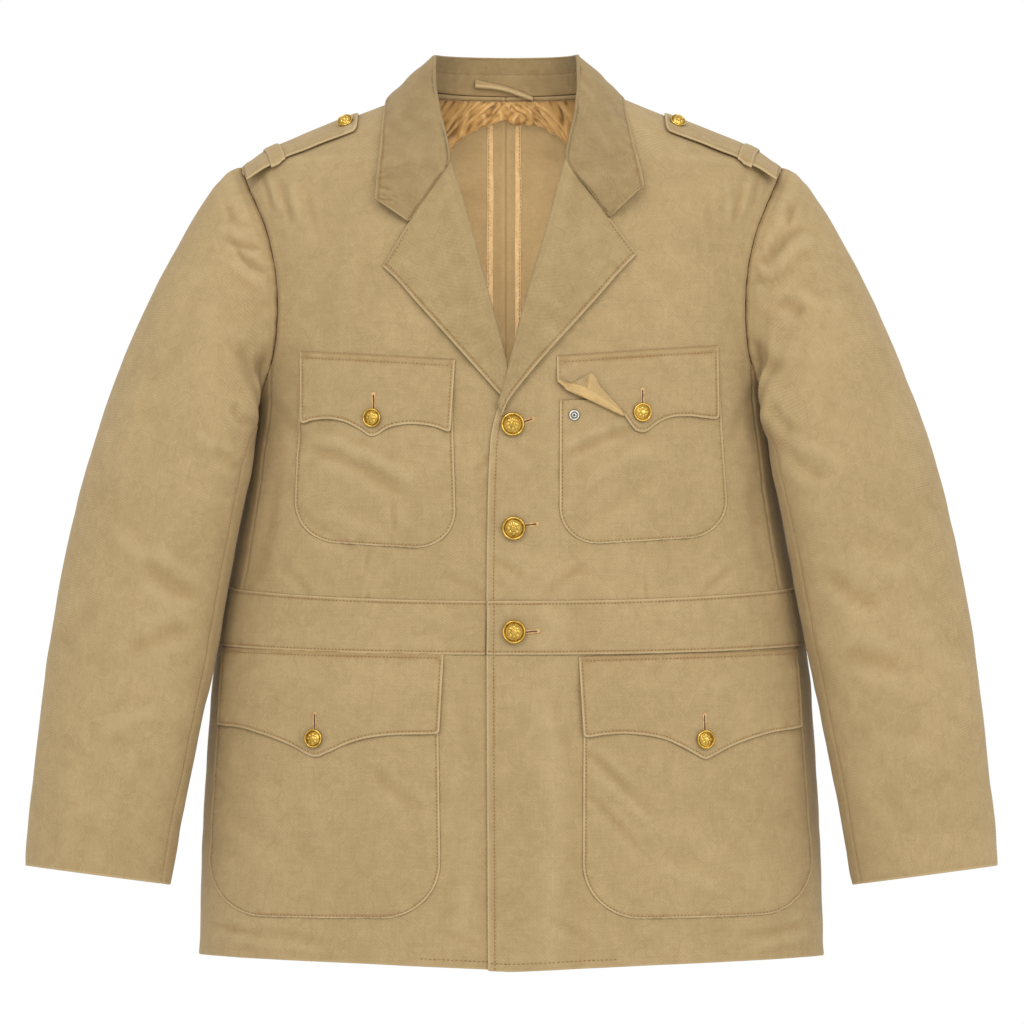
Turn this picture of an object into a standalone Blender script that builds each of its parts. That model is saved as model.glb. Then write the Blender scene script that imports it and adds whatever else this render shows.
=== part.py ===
"""Dress uniform jacket of khaki cotton, empty and filled out as worn.

Sizes are in millimetres. The front faces -Y, the wearer's left side is +X and up is +Z.
The origin is between the shoulder neck points, where the wearer's shoulders hold the jacket.
Every panel is a grid laid on the body form (or on a sleeve or collar form) and given the wall of the cloth.
"""
import math

import bmesh
import bpy
import numpy as np
from mathutils import Matrix, Vector

MM = 0.001

# ---- sizes ----------------------------------------------------------------------------------------------------------
CLOTH = 1.2            # wall of the cotton
SATIN = 1.0            # wall of the satin lining and bindings
SEAM = 0.4             # gap between neighbouring pieces
LAYER = 2.0            # step from one cloth to the next one lying on it
OVERLAP = 20.0         # each front passes the middle by this much
WAIST_Z = -449.0       # waist seam, under the belt
HEM_Z = -734.0
HEM_RISE = 3.5         # the hem is this much higher at the sides
NECK_Z = 9.0           # back neck seam
ARM_MID_Z = -166.0     # armhole: middle height, half height and reach round the body to the front and back
ARM_HALF = 108.0
ARM_FRONT = math.radians(30.5)
ARM_BACK = math.radians(23.0)
ARM_STEP = 18          # degrees between the points of the armhole and of the sleeve
BACK_SEAM_X = -5.0     # centre-back seam
BELT_SEAM = math.radians(72.0)
SIDE_SEAM = math.radians(96.0)
STRAP_Y = -20.0        # middle line of the shoulder strap, in front of the shoulder ridge
STRAP_HALF = 21.0
BIG_BUTTON = 20.0
POCKET_BUTTON = 16.0
STRAP_BUTTON = 14.0

# ---- body form: one row per level -------------------------------------------------------------------------------------
# height, half width, depth to the front, depth to the back, y of the widest line, squareness of the section
BODY = [
    (-740.0, 268.0, 126.0, 106.0, 4.0, 2.35),
    (-645.0, 265.0, 125.0, 105.0, 4.0, 2.35),
    (-560.0, 260.5, 123.0, 102.0, 4.0, 2.35),
    (-500.0, 256.0, 121.0, 98.0, 4.0, 2.35),
    (-473.0, 253.0, 120.0, 96.0, 4.0, 2.35),
    (-430.0, 246.5, 119.0, 95.0, 4.0, 2.35),
    (-387.0, 238.5, 120.0, 99.0, 5.0, 2.35),
    (-344.0, 231.5, 123.0, 104.0, 6.0, 2.35),
    (-300.0, 226.0, 125.0, 108.0, 7.0, 2.35),
    (-275.0, 222.0, 125.0, 110.0, 8.0, 2.35),
    (-230.0, 221.0, 123.0, 112.0, 8.0, 2.30),
    (-176.0, 225.5, 117.0, 112.0, 8.0, 2.25),
    (-120.0, 231.0, 108.0, 108.0, 8.0, 2.15),
    (-80.0, 235.0, 100.0, 100.0, 8.0, 2.00),
    (-60.0, 233.0, 95.0, 94.0, 8.0, 1.85),
    (-46.0, 210.0, 90.0, 90.0, 7.0, 1.75),
    (-34.0, 182.0, 84.0, 85.0, 6.0, 1.70),
    (-22.0, 152.0, 76.0, 80.0, 5.0, 1.70),
    (-10.0, 121.0, 66.0, 74.0, 4.0, 1.75),
    (2.0, 91.0, 55.0, 68.0, 3.0, 1.85),
    (12.0, 69.0, 46.0, 63.0, 2.0, 2.00),
]

# ---- free edge of each front: height, x of the edge towards the middle (own side counted positive) ---------------------
EDGE_RIGHT = [(-740.0, -20.0), (-300.0, -20.0), (-262.0, -4.0), (-237.0, 2.9), (-164.0, 23.0), (-97.0, 40.8),
              (-58.5, 52.9), (-30.0, 60.0), (-8.0, 66.0), (12.0, 69.0)]
EDGE_LEFT = [(-740.0, -19.0), (-430.0, -20.3), (-361.0, -19.5), (-295.0, -17.0), (-268.0, -11.2), (-254.0, -7.2),
             (-237.0, -2.3), (-188.0, 10.4), (-119.0, 30.2), (-60.5, 46.0), (-30.0, 57.0), (-8.0, 66.0), (12.0, 69.0)]

# ---- lapels from the gorge down: height on the roll line, x and height of the outer edge ------------------------------
LAPEL_RIGHT = [(-58.5, 107.3, -148.7), (-90.0, 96.0, -159.5), (-126.0, 79.0, -179.0),
               (-167.0, 56.0, -204.5), (-205.0, 31.0, -232.5), (-229.0, 13.0, -252.5)]
LAPEL_LEFT = [(-60.5, 104.2, -138.8), (-92.0, 91.0, -152.5), (-128.0, 71.0, -175.5),
              (-169.0, 46.0, -203.5), (-214.0, 18.0, -235.0), (-251.0, -3.5, -263.0)]

# ---- collar: fold x, y, z and free edge x, y, z, from the centre back round to the end at the notch --------------------
COLLAR_LEFT = [
    (0.0, 66.0, 42.0, 0.0, 86.0, -6.0),
    (36.0, 57.0, 41.5, 48.0, 76.0, -5.0),
    (58.0, 30.0, 39.5, 84.0, 48.0, -1.0),
    (64.0, 0.0, 37.0, 101.0, 4.0, 5.0),
    (62.5, -28.0, 14.0, 103.0, -46.0, -18.0),
    (58.0, -56.0, -14.0, 103.5, -74.0, -42.0),
    (48.0, -89.0, -57.0, 107.0, -83.0, -62.0),
    (66.0, -97.0, -84.0, 109.0, -87.0, -71.0),
    (82.6, -98.0, -107.0, 110.5, -90.0, -80.6),
]
COLLAR_RIGHT = [
    (0.0, 66.0, 42.0, 0.0, 86.0, -6.0),
    (36.0, 57.0, 41.5, 49.0, 76.0, -5.0),
    (58.0, 30.0, 39.5, 88.0, 47.0, -1.0),
    (65.0, 0.0, 37.0, 108.0, 4.0, 2.0),
    (63.0, -28.0, 14.0, 109.5, -44.0, -20.0),
    (60.0, -56.0, -14.0, 110.0, -73.0, -46.0),
    (53.0, -89.0, -57.0, 112.0, -84.0, -66.0),
    (70.0, -97.0, -85.0, 113.0, -88.0, -78.0),
    (86.6, -98.0, -111.0, 113.7, -92.0, -92.1),
]

# ---- sleeve rings: outer x, y, z; inner x, y, z; half depth front, half depth back; rise of the front; pull to the armhole
SLEEVE = [
    (250.0, 5.0, -67.0, 226.0, 2.0, -276.0, 67.0, 68.0, 0.0, 0.70),
    (268.0, 1.0, -94.5, 226.5, -11.0, -280.0, 66.0, 66.0, 0.0, 0.48),
    (289.0, -5.0, -132.0, 223.5, -33.0, -289.0, 65.0, 64.0, 0.0, 0.30),
    (311.5, -11.0, -178.0, 221.0, -53.0, -301.5, 64.0, 62.0, 0.0, 0.15),
    (335.5, -17.0, -236.0, 220.0, -60.0, -320.0, 62.0, 61.0, 0.0, 0.05),
    (358.0, -23.0, -301.5, 225.0, -59.0, -348.0, 60.0, 60.0, 0.5, 0.0),
    (376.3, -29.0, -374.0, 235.3, -54.0, -397.0, 57.0, 58.0, 1.0, 0.0),
    (390.6, -36.0, -453.0, 250.7, -53.0, -473.7, 55.0, 55.0, 2.0, 0.0),
    (400.0, -43.0, -527.0, 265.7, -55.0, -547.0, 52.0, 52.0, 3.0, 0.0),
    (406.7, -50.0, -598.0, 280.2, -58.0, -618.0, 48.0, 48.0, 4.0, 0.0),
    (410.2, -55.0, -653.0, 289.0, -60.0, -668.6, 45.0, 45.0, 4.5, 0.0),
]
SLEEVE_FRONT_SEAM = -54
SLEEVE_BACK_SEAM = -144

# ---- pockets: side (+1 wearer's left), corners top inner, top outer, bottom inner, bottom outer as x, z; corner radius --
POCKETS = {
    "chest_pocket_right": (-1, (49.5, -262.0), (178.0, -258.0), (46.0, -386.0), (183.0, -378.0), 34.0),
    "chest_pocket_left": (1, (40.5, -262.0), (175.0, -258.0), (40.3, -382.5), (182.5, -374.0), 32.0),
    "hip_pocket_right": (-1, (61.5, -512.0), (248.0, -508.0), (59.0, -691.0), (259.0, -694.0), 46.0),
    "hip_pocket_left": (1, (60.5, -512.0), (245.0, -508.0), (59.5, -692.0), (258.5, -692.0), 46.0),
}
# ---- flaps: side, top inner, top outer, bottom inner, bottom outer, drop of the point, rise of the hollows, share of the point
FLAPS = {
    "chest_flap_right": (-1, (47.3, -228.2), (177.8, -219.8), (50.9, -287.2), (177.6, -279.6), 8.5, 5.5, 0.50),
    "chest_flap_left": (1, (38.0, -225.3), (173.6, -215.2), (38.3, -281.2), (174.0, -275.7), 9.5, 4.5, 0.53),
    "hip_flap_right": (-1, (56.8, -472.8), (246.1, -469.5), (60.4, -538.0), (249.4, -533.9), 22.5, -2.5, 0.555),
    "hip_flap_left": (1, (56.3, -475.0), (242.1, -471.1), (60.3, -540.4), (247.2, -535.7), 23.5, -2.0, 0.545),
}
TURN_UP = {"chest_flap_left": ((38.6, -245.2), (93.2, -273.8))}   # fold line of the corner that is turned up

# ---- buttons: x, z, diameter, layers under it ---------------------------------------------------------------------------
FRONT_BUTTONS = {
    "button_front_1": (1.0, -281.6, BIG_BUTTON, 1.0),
    "button_front_2": (1.8, -367.6, BIG_BUTTON, 1.0),
    "button_front_3": (2.1, -453.8, BIG_BUTTON, 2.0),
    "button_chest_right": (-115.8, -275.9, POCKET_BUTTON, 2.0),
    "button_chest_left": (108.8, -271.3, POCKET_BUTTON, 2.0),
    "button_hip_right": (-164.9, -543.1, POCKET_BUTTON, 2.0),
    "button_hip_left": (161.8, -543.9, POCKET_BUTTON, 2.0),
}
# outline of a domed button on a short shank, as shares of its radius and height: out from the axis, up
BUTTON_OUTLINE = [(0.0, 1.0), (0.36, 0.93), (0.68, 0.72), (0.84, 0.50), (0.90, 0.56), (1.0, 0.44), (0.97, 0.26),
                  (0.42, 0.20), (0.26, 0.0), (0.0, 0.0)]


# ---- tools ------------------------------------------------------------------------------------------------------------
def smooth(xs, ys):
    """Curve through the rows of a table that never swings past them."""
    xs, ys = np.asarray(xs, float), np.asarray(ys, float)
    if xs[0] > xs[-1]:
        xs, ys = xs[::-1], ys[::-1]
    h = np.diff(xs)
    d = np.diff(ys) / h
    m = np.zeros_like(ys)
    m[0], m[-1] = d[0], d[-1]
    for i in range(1, len(xs) - 1):
        if d[i - 1] * d[i] > 0:
            w1, w2 = 2 * h[i] + h[i - 1], h[i] + 2 * h[i - 1]
            m[i] = (w1 + w2) / (w1 / d[i - 1] + w2 / d[i])

    def at(x):
        x = np.clip(x, xs[0], xs[-1])
        i = np.clip(np.searchsorted(xs, x) - 1, 0, len(h) - 1)
        s = (x - xs[i]) / h[i]
        return ((1 + 2 * s) * (1 - s) ** 2 * ys[i] + s * (1 - s) ** 2 * h[i] * m[i]
                + s * s * (3 - 2 * s) * ys[i + 1] + s * s * (s - 1) * h[i] * m[i + 1])
    return at


BODY_Z = [r[0] for r in BODY]
half_width, depth_front, depth_back, middle_y, square = [smooth(BODY_Z, [r[k] for r in BODY]) for k in range(1, 6)]
edge_right = smooth([r[0] for r in EDGE_RIGHT], [r[1] for r in EDGE_RIGHT])
edge_left = smooth([r[0] for r in EDGE_LEFT], [r[1] for r in EDGE_LEFT])


def power(v, p):
    return np.sign(v) * np.abs(v) ** p


def body(t, z):
    """Point of the body form; t turns from the centre front (0) to the wearer's left side and on to the back."""
    t, z = np.broadcast_arrays(np.asarray(t, float), np.asarray(z, float))
    n = square(z)
    c = np.cos(t)
    depth = np.where(c > 0, depth_front(z), depth_back(z))
    return np.stack([half_width(z) * power(np.sin(t), 2 / n), middle_y(z) - depth * power(c, 2 / n), z], -1)


def body_out(t, z):
    """Outward normal of the body form."""
    e, f = 0.02, 1.5
    along = body(t + e, z) - body(t - e, z)
    up = body(t, z + f) - body(t, z - f)
    n = np.cross(along, up)
    return n / np.linalg.norm(n, axis=-1, keepdims=True)


def turn_at(x, z):
    """Turn t of the front of the body at the given x and height."""
    share = np.clip(np.abs(x) / half_width(z), 0, 1)
    return np.sign(x) * np.arcsin(share ** (square(z) / 2))


def on_body(t, z, out):
    return body(t, z) + body_out(t, z) * np.asarray(out, float)[..., None]


def on_front(x, z, out):
    """Point above the front of the body at the given x and height, moved out."""
    return on_body(turn_at(x, z), z, np.broadcast_to(out, np.shape(x)))


def shoulder_z(x, y):
    """Height of the shoulder over x, y."""
    x, y = np.broadcast_arrays(np.asarray(x, float), np.asarray(y, float))
    lo, hi = np.full(x.shape, -160.0), np.full(x.shape, 12.0)
    for _ in range(40):
        mid = (lo + hi) / 2
        n = square(mid)
        d = y - middle_y(mid)
        depth = np.where(d < 0, depth_front(mid), depth_back(mid))
        inside = (np.abs(x) / half_width(mid)) ** n + (np.abs(d) / depth) ** n < 1
        lo, hi = np.where(inside, mid, lo), np.where(inside, hi, mid)
    return (lo + hi) / 2


def strap_z(x, y):
    """Height under a shoulder strap: along the ridge it follows the shoulder, across it keeps one bend."""
    inner = np.minimum(x, 196.0)
    ridge = np.full(np.shape(x), 6.0)
    return shoulder_z(x, ridge) - shoulder_z(inner, ridge) + shoulder_z(inner, y)


def on_shoulder(x, y, out):
    e = 2.0
    n = np.stack([strap_z(x - e, y) - strap_z(x + e, y), strap_z(x, y - e) - strap_z(x, y + e),
                  np.full(np.shape(x), 2 * e)], -1)
    n /= np.linalg.norm(n, axis=-1, keepdims=True)
    return np.stack([x, y, strap_z(x, y)], -1) + n * np.broadcast_to(out, np.shape(x))[..., None]


def raise_left(x):
    """How far the left front lies above the right one near the middle."""
    s = np.clip((62.0 - x) / 34.0, 0, 1)
    return (LAYER + 0.7) * s * s * (3 - 2 * s)


def armhole(deg, side):
    """Armhole of one side; 90 is the shoulder, 0 the front, -90 under the arm, 180 the back."""
    a = np.radians(deg)
    reach = np.where(np.cos(a) > 0, -ARM_FRONT, ARM_BACK)
    return side * (math.pi / 2 + reach * np.abs(np.cos(a))), ARM_MID_Z + ARM_HALF * np.sin(a)


# ---- making the objects -----------------------------------------------------------------------------------------------
for old in list(bpy.data.objects):
    bpy.data.objects.remove(old, do_unlink=True)
for old in list(bpy.data.meshes):
    bpy.data.meshes.remove(old)

jacket = bpy.data.collections.new("dress_uniform_jacket")
bpy.context.scene.collection.children.link(jacket)


def material(name, colour, rough, metal):
    m = bpy.data.materials.new(name)
    m.use_nodes = True
    p = m.node_tree.nodes["Principled BSDF"]
    p.inputs["Base Color"].default_value = (*colour, 1)
    p.inputs["Roughness"].default_value = rough
    p.inputs["Metallic"].default_value = metal
    return m


KHAKI = material("khaki_cotton", (0.48, 0.35, 0.17), 0.9, 0.0)
LINING = material("satin_lining", (0.50, 0.34, 0.15), 0.45, 0.0)
BRASS = material("brass", (0.72, 0.47, 0.15), 0.3, 1.0)
NICKEL = material("nickel", (0.62, 0.60, 0.56), 0.25, 1.0)


def link(name, mesh, mat):
    ob = bpy.data.objects.new(name, mesh)
    mesh.materials.append(mat)
    jacket.objects.link(ob)
    return ob


def cloth(name, points, mat=KHAKI, wall=CLOTH):
    """Panel: a grid laid on the given rows of points, then given the wall of the cloth."""
    rows, cols = points.shape[:2]
    bm = bmesh.new()
    bmesh.ops.create_grid(bm, x_segments=cols - 1, y_segments=rows - 1, size=1.0)
    order = sorted(bm.verts, key=lambda v: (round(v.co.y, 5), round(v.co.x, 5)))
    for v, p in zip(order, points.reshape(-1, 3)):
        v.co = Vector(p) * MM
    mesh = bpy.data.meshes.new(name)
    bm.to_mesh(mesh)
    bm.free()
    ob = link(name, mesh, mat)
    wall_mod = ob.modifiers.new("wall", "SOLIDIFY")
    wall_mod.thickness = wall * MM
    wall_mod.offset = 0.0
    wall_mod.use_even_offset = True
    return ob


def spread(a, b, cols):
    """Rows of values from a to b."""
    return np.asarray(a, float)[:, None] + np.linspace(0, 1, cols)[None, :] * (np.asarray(b, float) - np.asarray(a, float))[:, None]


def trim(t, z, gap):
    """Turn that is the given gap away along the body."""
    step = np.linalg.norm(body(t + 0.005, z) - body(t - 0.005, z), axis=-1) / 0.01
    return gap / np.maximum(step, 1.0)


def belt_top(t):
    return -428.5 + 9.0 * np.sin(np.clip(np.abs(t), 0, math.pi / 2)) ** 2


def belt_bottom(t):
    return -472.5 + 5.0 * np.sin(np.clip(np.abs(t), 0, math.pi / 2)) ** 2


ARM_FRONT_TOP, ARM_BACK_TOP = -36, 216      # where the side panel's two seams meet the armhole
RISE = np.array([WAIST_Z + SEAM / 2, -405.0, -355.0, -305.0, -265.0])
SHOULDER_ROWS = np.array([-44.0, -26.0, -8.0, NECK_Z - 1.0])
COLS = 8
front_deg = np.arange(ARM_FRONT_TOP, 91, ARM_STEP)
back_deg = np.arange(ARM_BACK_TOP, 89, -ARM_STEP)


def upper_front(name, side, edge, out):
    arm_t, arm_z = armhole(front_deg, 1)
    z = np.concatenate([RISE, arm_z, SHOULDER_ROWS])
    seam_low = math.radians(66.4)
    low = np.linspace(seam_low, arm_t[0], len(RISE) + 1)[:-1]
    outer = np.concatenate([low, arm_t, np.full(len(SHOULDER_ROWS), math.pi / 2)])
    z[len(RISE) + len(front_deg) - 1] -= 0.4
    inner_x = edge(z) + np.where(z > -270, 1.6, 0.0)
    inner = turn_at(inner_x, z)
    outer = outer - trim(outer, z, SEAM)
    t = spread(inner, outer, COLS)
    zz = np.repeat(z[:, None], COLS, 1)
    p = body(t, zz)
    p = p + body_out(t, zz) * out(p[..., 0])[..., None]
    p[..., 0] *= side
    return cloth(name, p)


def upper_back(name, side):
    arm_t, arm_z = armhole(back_deg, 1)
    z = np.concatenate([RISE, arm_z, SHOULDER_ROWS[:-1], [NECK_Z]])
    low = np.linspace(math.radians(118.0), arm_t[0], len(RISE) + 1)[:-1]
    outer = np.concatenate([low, arm_t, np.full(len(SHOULDER_ROWS), math.pi / 2)])
    z[len(RISE) + len(back_deg) - 1] -= 0.4
    mid = math.pi - turn_at(np.full(z.shape, side * BACK_SEAM_X), z)
    outer, mid = outer + trim(outer, z, SEAM), mid - trim(mid, z, SEAM / 2)
    t = spread(outer, mid, COLS)
    p = body(t, np.repeat(z[:, None], COLS, 1))
    p[..., 0] *= side
    return cloth(name, p)


def side_panel(name, side):
    deg = np.arange(ARM_FRONT_TOP, ARM_BACK_TOP - 361, -ARM_STEP)
    arm_t, arm_z = armhole(deg, 1)
    low_t = np.linspace(math.radians(66.4), math.radians(118.0), len(deg))
    rise = np.append(RISE, arm_z[0])
    share = ((rise - rise[0]) / (rise[-1] - rise[0]))[:, None]      # rows as on the neighbouring panels
    z = rise[0] + share * (arm_z - 2.2 - rise[0])[None, :]
    step = np.linspace(0, 1, len(rise))[:, None]
    t = low_t[None, :] + step * (arm_t - low_t)[None, :]
    t[:, 0] += trim(t[:, 0], z[:, 0], SEAM)
    t[:, -1] -= trim(t[:, -1], z[:, -1], SEAM)
    p = body(t, z)
    p[..., 0] *= side
    return cloth(name, p)


def ring_of_skirt(name, t_from, t_to, out, cols, hem=HEM_Z):
    """Panel from the waist seam to the hem between two lines given by height."""
    z = np.array([WAIST_Z - SEAM / 2, -505.0, -562.0, -620.0, -678.0, hem])
    t = spread(t_from(z), t_to(z), cols)
    zz = np.repeat(z[:, None], cols, 1)
    zz[-1] += HEM_RISE * np.sin(t[-1]) ** 2
    p = body(t, zz)
    p = p + body_out(t, zz) * out(p[..., 0])[..., None]
    return cloth(name, p)


def flat(x):
    return np.zeros(np.shape(x))


def mirror(t):
    return lambda z: -t(z)


upper_front("front_right", -1, edge_right, flat)
upper_front("front_left", 1, edge_left, raise_left)
for word, sign in (("right", -1), ("left", 1)):
    upper_back("back_" + word, sign)
    side_panel("side_" + word, sign)

# skirt: two fronts and one back
gap_side = lambda z: SIDE_SEAM - trim(np.full(z.shape, SIDE_SEAM), z, SEAM / 2)
ring_of_skirt("skirt_front_left", lambda z: turn_at(edge_left(z), z), gap_side, raise_left, 16, HEM_Z - 1.0)
ring_of_skirt("skirt_front_right", lambda z: -turn_at(edge_right(z), z), mirror(gap_side), flat, 16)
ring_of_skirt("skirt_back", lambda z: SIDE_SEAM + trim(np.full(z.shape, SIDE_SEAM), z, SEAM / 2),
              lambda z: 2 * math.pi - SIDE_SEAM - trim(np.full(z.shape, SIDE_SEAM), z, SEAM / 2), flat, 21)


def belt(name, t_from, t_to, out, cols):
    """Belt: a strip lying over the waist seam."""
    t = np.linspace(t_from, t_to, cols)
    bend = np.where(np.abs(t) > math.pi / 2, math.pi - np.abs(t), np.abs(t))
    share = np.array([0.0, 0.5, 1.0])[:, None]
    z = belt_bottom(bend)[None, :] + share * (belt_top(bend) - belt_bottom(bend))[None, :]
    tt = np.repeat(t[None, :], 3, 0)
    p = body(tt, z)
    return cloth(name, p + body_out(tt, z) * (out(p[..., 0]) + LAYER + 0.8)[..., None])


edge_t = float(turn_at(np.array(-20.0), np.array(-450.0)))
belt("belt_front_left", edge_t, BELT_SEAM, raise_left, 14)
belt("belt_front_right", float(turn_at(np.array(-21.5), np.array(-450.0))), -BELT_SEAM, flat, 12)
belt("belt_back", BELT_SEAM + 0.006, 2 * math.pi - BELT_SEAM - 0.006, flat, 31)


# ---- sleeves ----------------------------------------------------------------------------------------------------------
def sleeve_rings(deg, side):
    a = np.radians(deg)
    t, z = armhole(deg, 1)
    hole = body(t, z)
    ends_t, ends_z = armhole(np.array([90.0, -90.0, 0.0, 180.0]), 1)
    top, under, fore, aft = body(ends_t, ends_z)

    def ring(outer, inner, fore_depth, aft_depth, rise):
        p = (outer + inner) / 2 + (outer - inner)[None, :] / 2 * np.sin(a)[:, None]
        p[:, 1] -= np.where(np.cos(a) > 0, fore_depth, aft_depth) * np.cos(a)
        p[:, 2] += rise * np.cos(a)
        return p
    mid0 = (top[1] + under[1]) / 2
    lift = hole - ring(top, under, mid0 - fore[1], aft[1] - mid0, 0.0)
    rings = [ring(np.array(r[0:3]), np.array(r[3:6]), *r[6:9]) + lift * r[9] for r in SLEEVE]
    start = hole + (rings[0] - hole) / np.linalg.norm(rings[0] - hole, axis=-1, keepdims=True) * 1.5
    p = np.stack([start] + rings)
    p[..., 0] *= side
    return p


for word, sign in (("right", -1), ("left", 1)):
    nick = 0.6
    top_deg = np.arange(SLEEVE_FRONT_SEAM, SLEEVE_BACK_SEAM + 361, ARM_STEP).astype(float)
    under_deg = np.arange(SLEEVE_BACK_SEAM, SLEEVE_FRONT_SEAM + 1, ARM_STEP).astype(float)
    for d in (top_deg, under_deg):
        d[0] += nick
        d[-1] -= nick
    cloth("sleeve_top_" + word, sleeve_rings(top_deg, sign))
    cloth("sleeve_under_" + word, sleeve_rings(under_deg, sign))


# ---- lapels -----------------------------------------------------------------------------------------------------------
def lapel(name, side, rows, edge, out):
    table = np.array(rows)
    at = np.linspace(0, 1, len(rows))
    fine = np.linspace(0, 1, 10)
    rz, ex, ez = [smooth(at, table[:, k])(fine) for k in range(3)]
    rx = edge(rz)
    roll = np.radians([0.0, 70.0, 130.0, 180.0])
    high = 3.8                                   # the lapel lies this far above the front
    lead = np.hypot(ex - rx, ez - rz)
    dx, dz = (ex - rx) / lead, (ez - rz) / lead
    flat_part = np.linspace(0, 1, 6)[1:]
    x = np.concatenate([rx[:, None] + 0.5 - dx[:, None] * high / 2 * np.sin(roll)[None, :],
                        rx[:, None] + (ex - rx)[:, None] * flat_part], 1)
    z = np.concatenate([rz[:, None] - dz[:, None] * high / 2 * np.sin(roll)[None, :],
                        rz[:, None] + (ez - rz)[:, None] * flat_part], 1)
    lift = np.concatenate([high / 2 * (1 - np.cos(roll)), np.full(len(flat_part), high)])
    p = on_front(x, z, lift[None, :] + out(x))
    p[..., 0] *= side
    return cloth(name, p)


lapel("lapel_right", -1, LAPEL_RIGHT, edge_right, flat)
lapel("lapel_left", 1, LAPEL_LEFT, edge_left, raise_left)

# ---- collar -----------------------------------------------------------------------------------------------------------
collar_rows = [(-r[0], r[1], r[2], -r[3], r[4], r[5]) for r in reversed(COLLAR_RIGHT)] + COLLAR_LEFT[1:]
table = np.array(collar_rows)
stations = np.linspace(0, 1, len(collar_rows))
fine = np.linspace(0, 1, 25)
fold = np.stack([smooth(stations, table[:, k])(fine) for k in range(3)], -1)
free = np.stack([smooth(stations, table[:, k])(fine) for k in range(3, 6)], -1)
along = np.gradient(fold, axis=0)
puff = np.cross(along, free - fold)
puff /= np.linalg.norm(puff, axis=-1, keepdims=True)
puff *= np.sign(np.sum(puff * (fold - np.array([0.0, 0.0, -40.0])), -1, keepdims=True))
share = np.linspace(0, 1, 6)[None, :, None]
fall = fold[:, None, :] + (free - fold)[:, None, :] * share + puff[:, None, :] * 5.5 * np.sin(np.pi * share) ** 0.8
cloth("collar_fall", fall)

# stand: from the neck seam up to just inside the fold
neck_deg = np.linspace(-128.0, 128.0, 23)


def neck_seam(deg, word):
    """Neck seam; 0 is the centre back, it runs level round the back and down the front edge."""
    if abs(deg) <= 90:
        q = body(math.pi - math.radians(deg), NECK_Z + 1.2)
        return q
    z = NECK_Z + 1.2 - (abs(deg) - 90) * 1.05
    x = (edge_left if deg > 0 else edge_right)(np.array(z))
    q = body(turn_at(x, np.array(z)), np.array(z))
    q[0] *= np.sign(deg)
    return q + np.array([-np.sign(deg) * 1.6, 1.2, 1.2])


def fold_at(deg):
    """Fold of the collar over the same place."""
    ang = np.degrees(np.arctan2(fold[:, 0], fold[:, 1] + 12.0))
    keep = np.abs(ang) < 150
    return np.array([np.interp(deg, ang[keep], fold[keep, k]) for k in range(3)])


stand = []
for deg in neck_deg:
    low, high = neck_seam(deg, ""), fold_at(deg)
    inward = -np.array([high[0], high[1] + 12.0, 0.0])
    inward /= np.linalg.norm(inward)
    top = high + inward * 2.2 + np.array([0, 0, -2.4])
    stand.append(low[None, :] + np.linspace(0, 1, 4)[:, None] * (top - low)[None, :])
cloth("collar_stand", np.stack(stand))


# ---- pockets and flaps ------------------------------------------------------------------------------------------------
def quad(ti, to, bi, bo, p, q):
    """Place at share p from inner to outer and q from top to bottom."""
    ti, to, bi, bo = (np.array(v) for v in (ti, to, bi, bo))
    p, q = p[..., None], q[..., None]
    return (ti * (1 - p) + to * p) * (1 - q) + (bi * (1 - p) + bo * p) * q


ACROSS = np.sin(np.linspace(0, 1, 11) * 1.30) / math.sin(1.30)      # closer together where the side rounds away


def under_of(side):
    return raise_left if side > 0 else flat


for name, (side, ti, to, bi, bo, radius) in POCKETS.items():
    wide, tall = to[0] - ti[0], ti[1] - bi[1]
    rp, rq = radius / wide, radius / tall
    bend = np.radians([30.0, 60.0, 90.0])
    q = np.concatenate([np.linspace(0, 1 - rq, 4), 1 - rq + rq * np.sin(bend)])
    pull = np.concatenate([np.zeros(4), rp * (1 - np.cos(bend))])
    p = pull[:, None] + ACROSS[None, :] * (1 - 2 * pull)[:, None]
    place = quad(ti, to, bi, bo, p, np.repeat(q[:, None], len(ACROSS), 1))
    pts = on_front(place[..., 0], place[..., 1], LAYER + 0.4 + under_of(side)(place[..., 0]))
    pts[..., 0] *= side
    cloth(name, pts)


def flap_edge(p, drop, rise, tip):
    """How far the lower edge hangs below the line of its corners."""
    s = np.where(p < tip, p / tip, (1 - p) / (1 - tip))
    return -rise * np.sin(np.pi * np.clip(s / 0.7, 0, 1)) ** 1.5 + drop * np.clip((s - 0.35) / 0.65, 0, 1) ** 1.6


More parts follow.
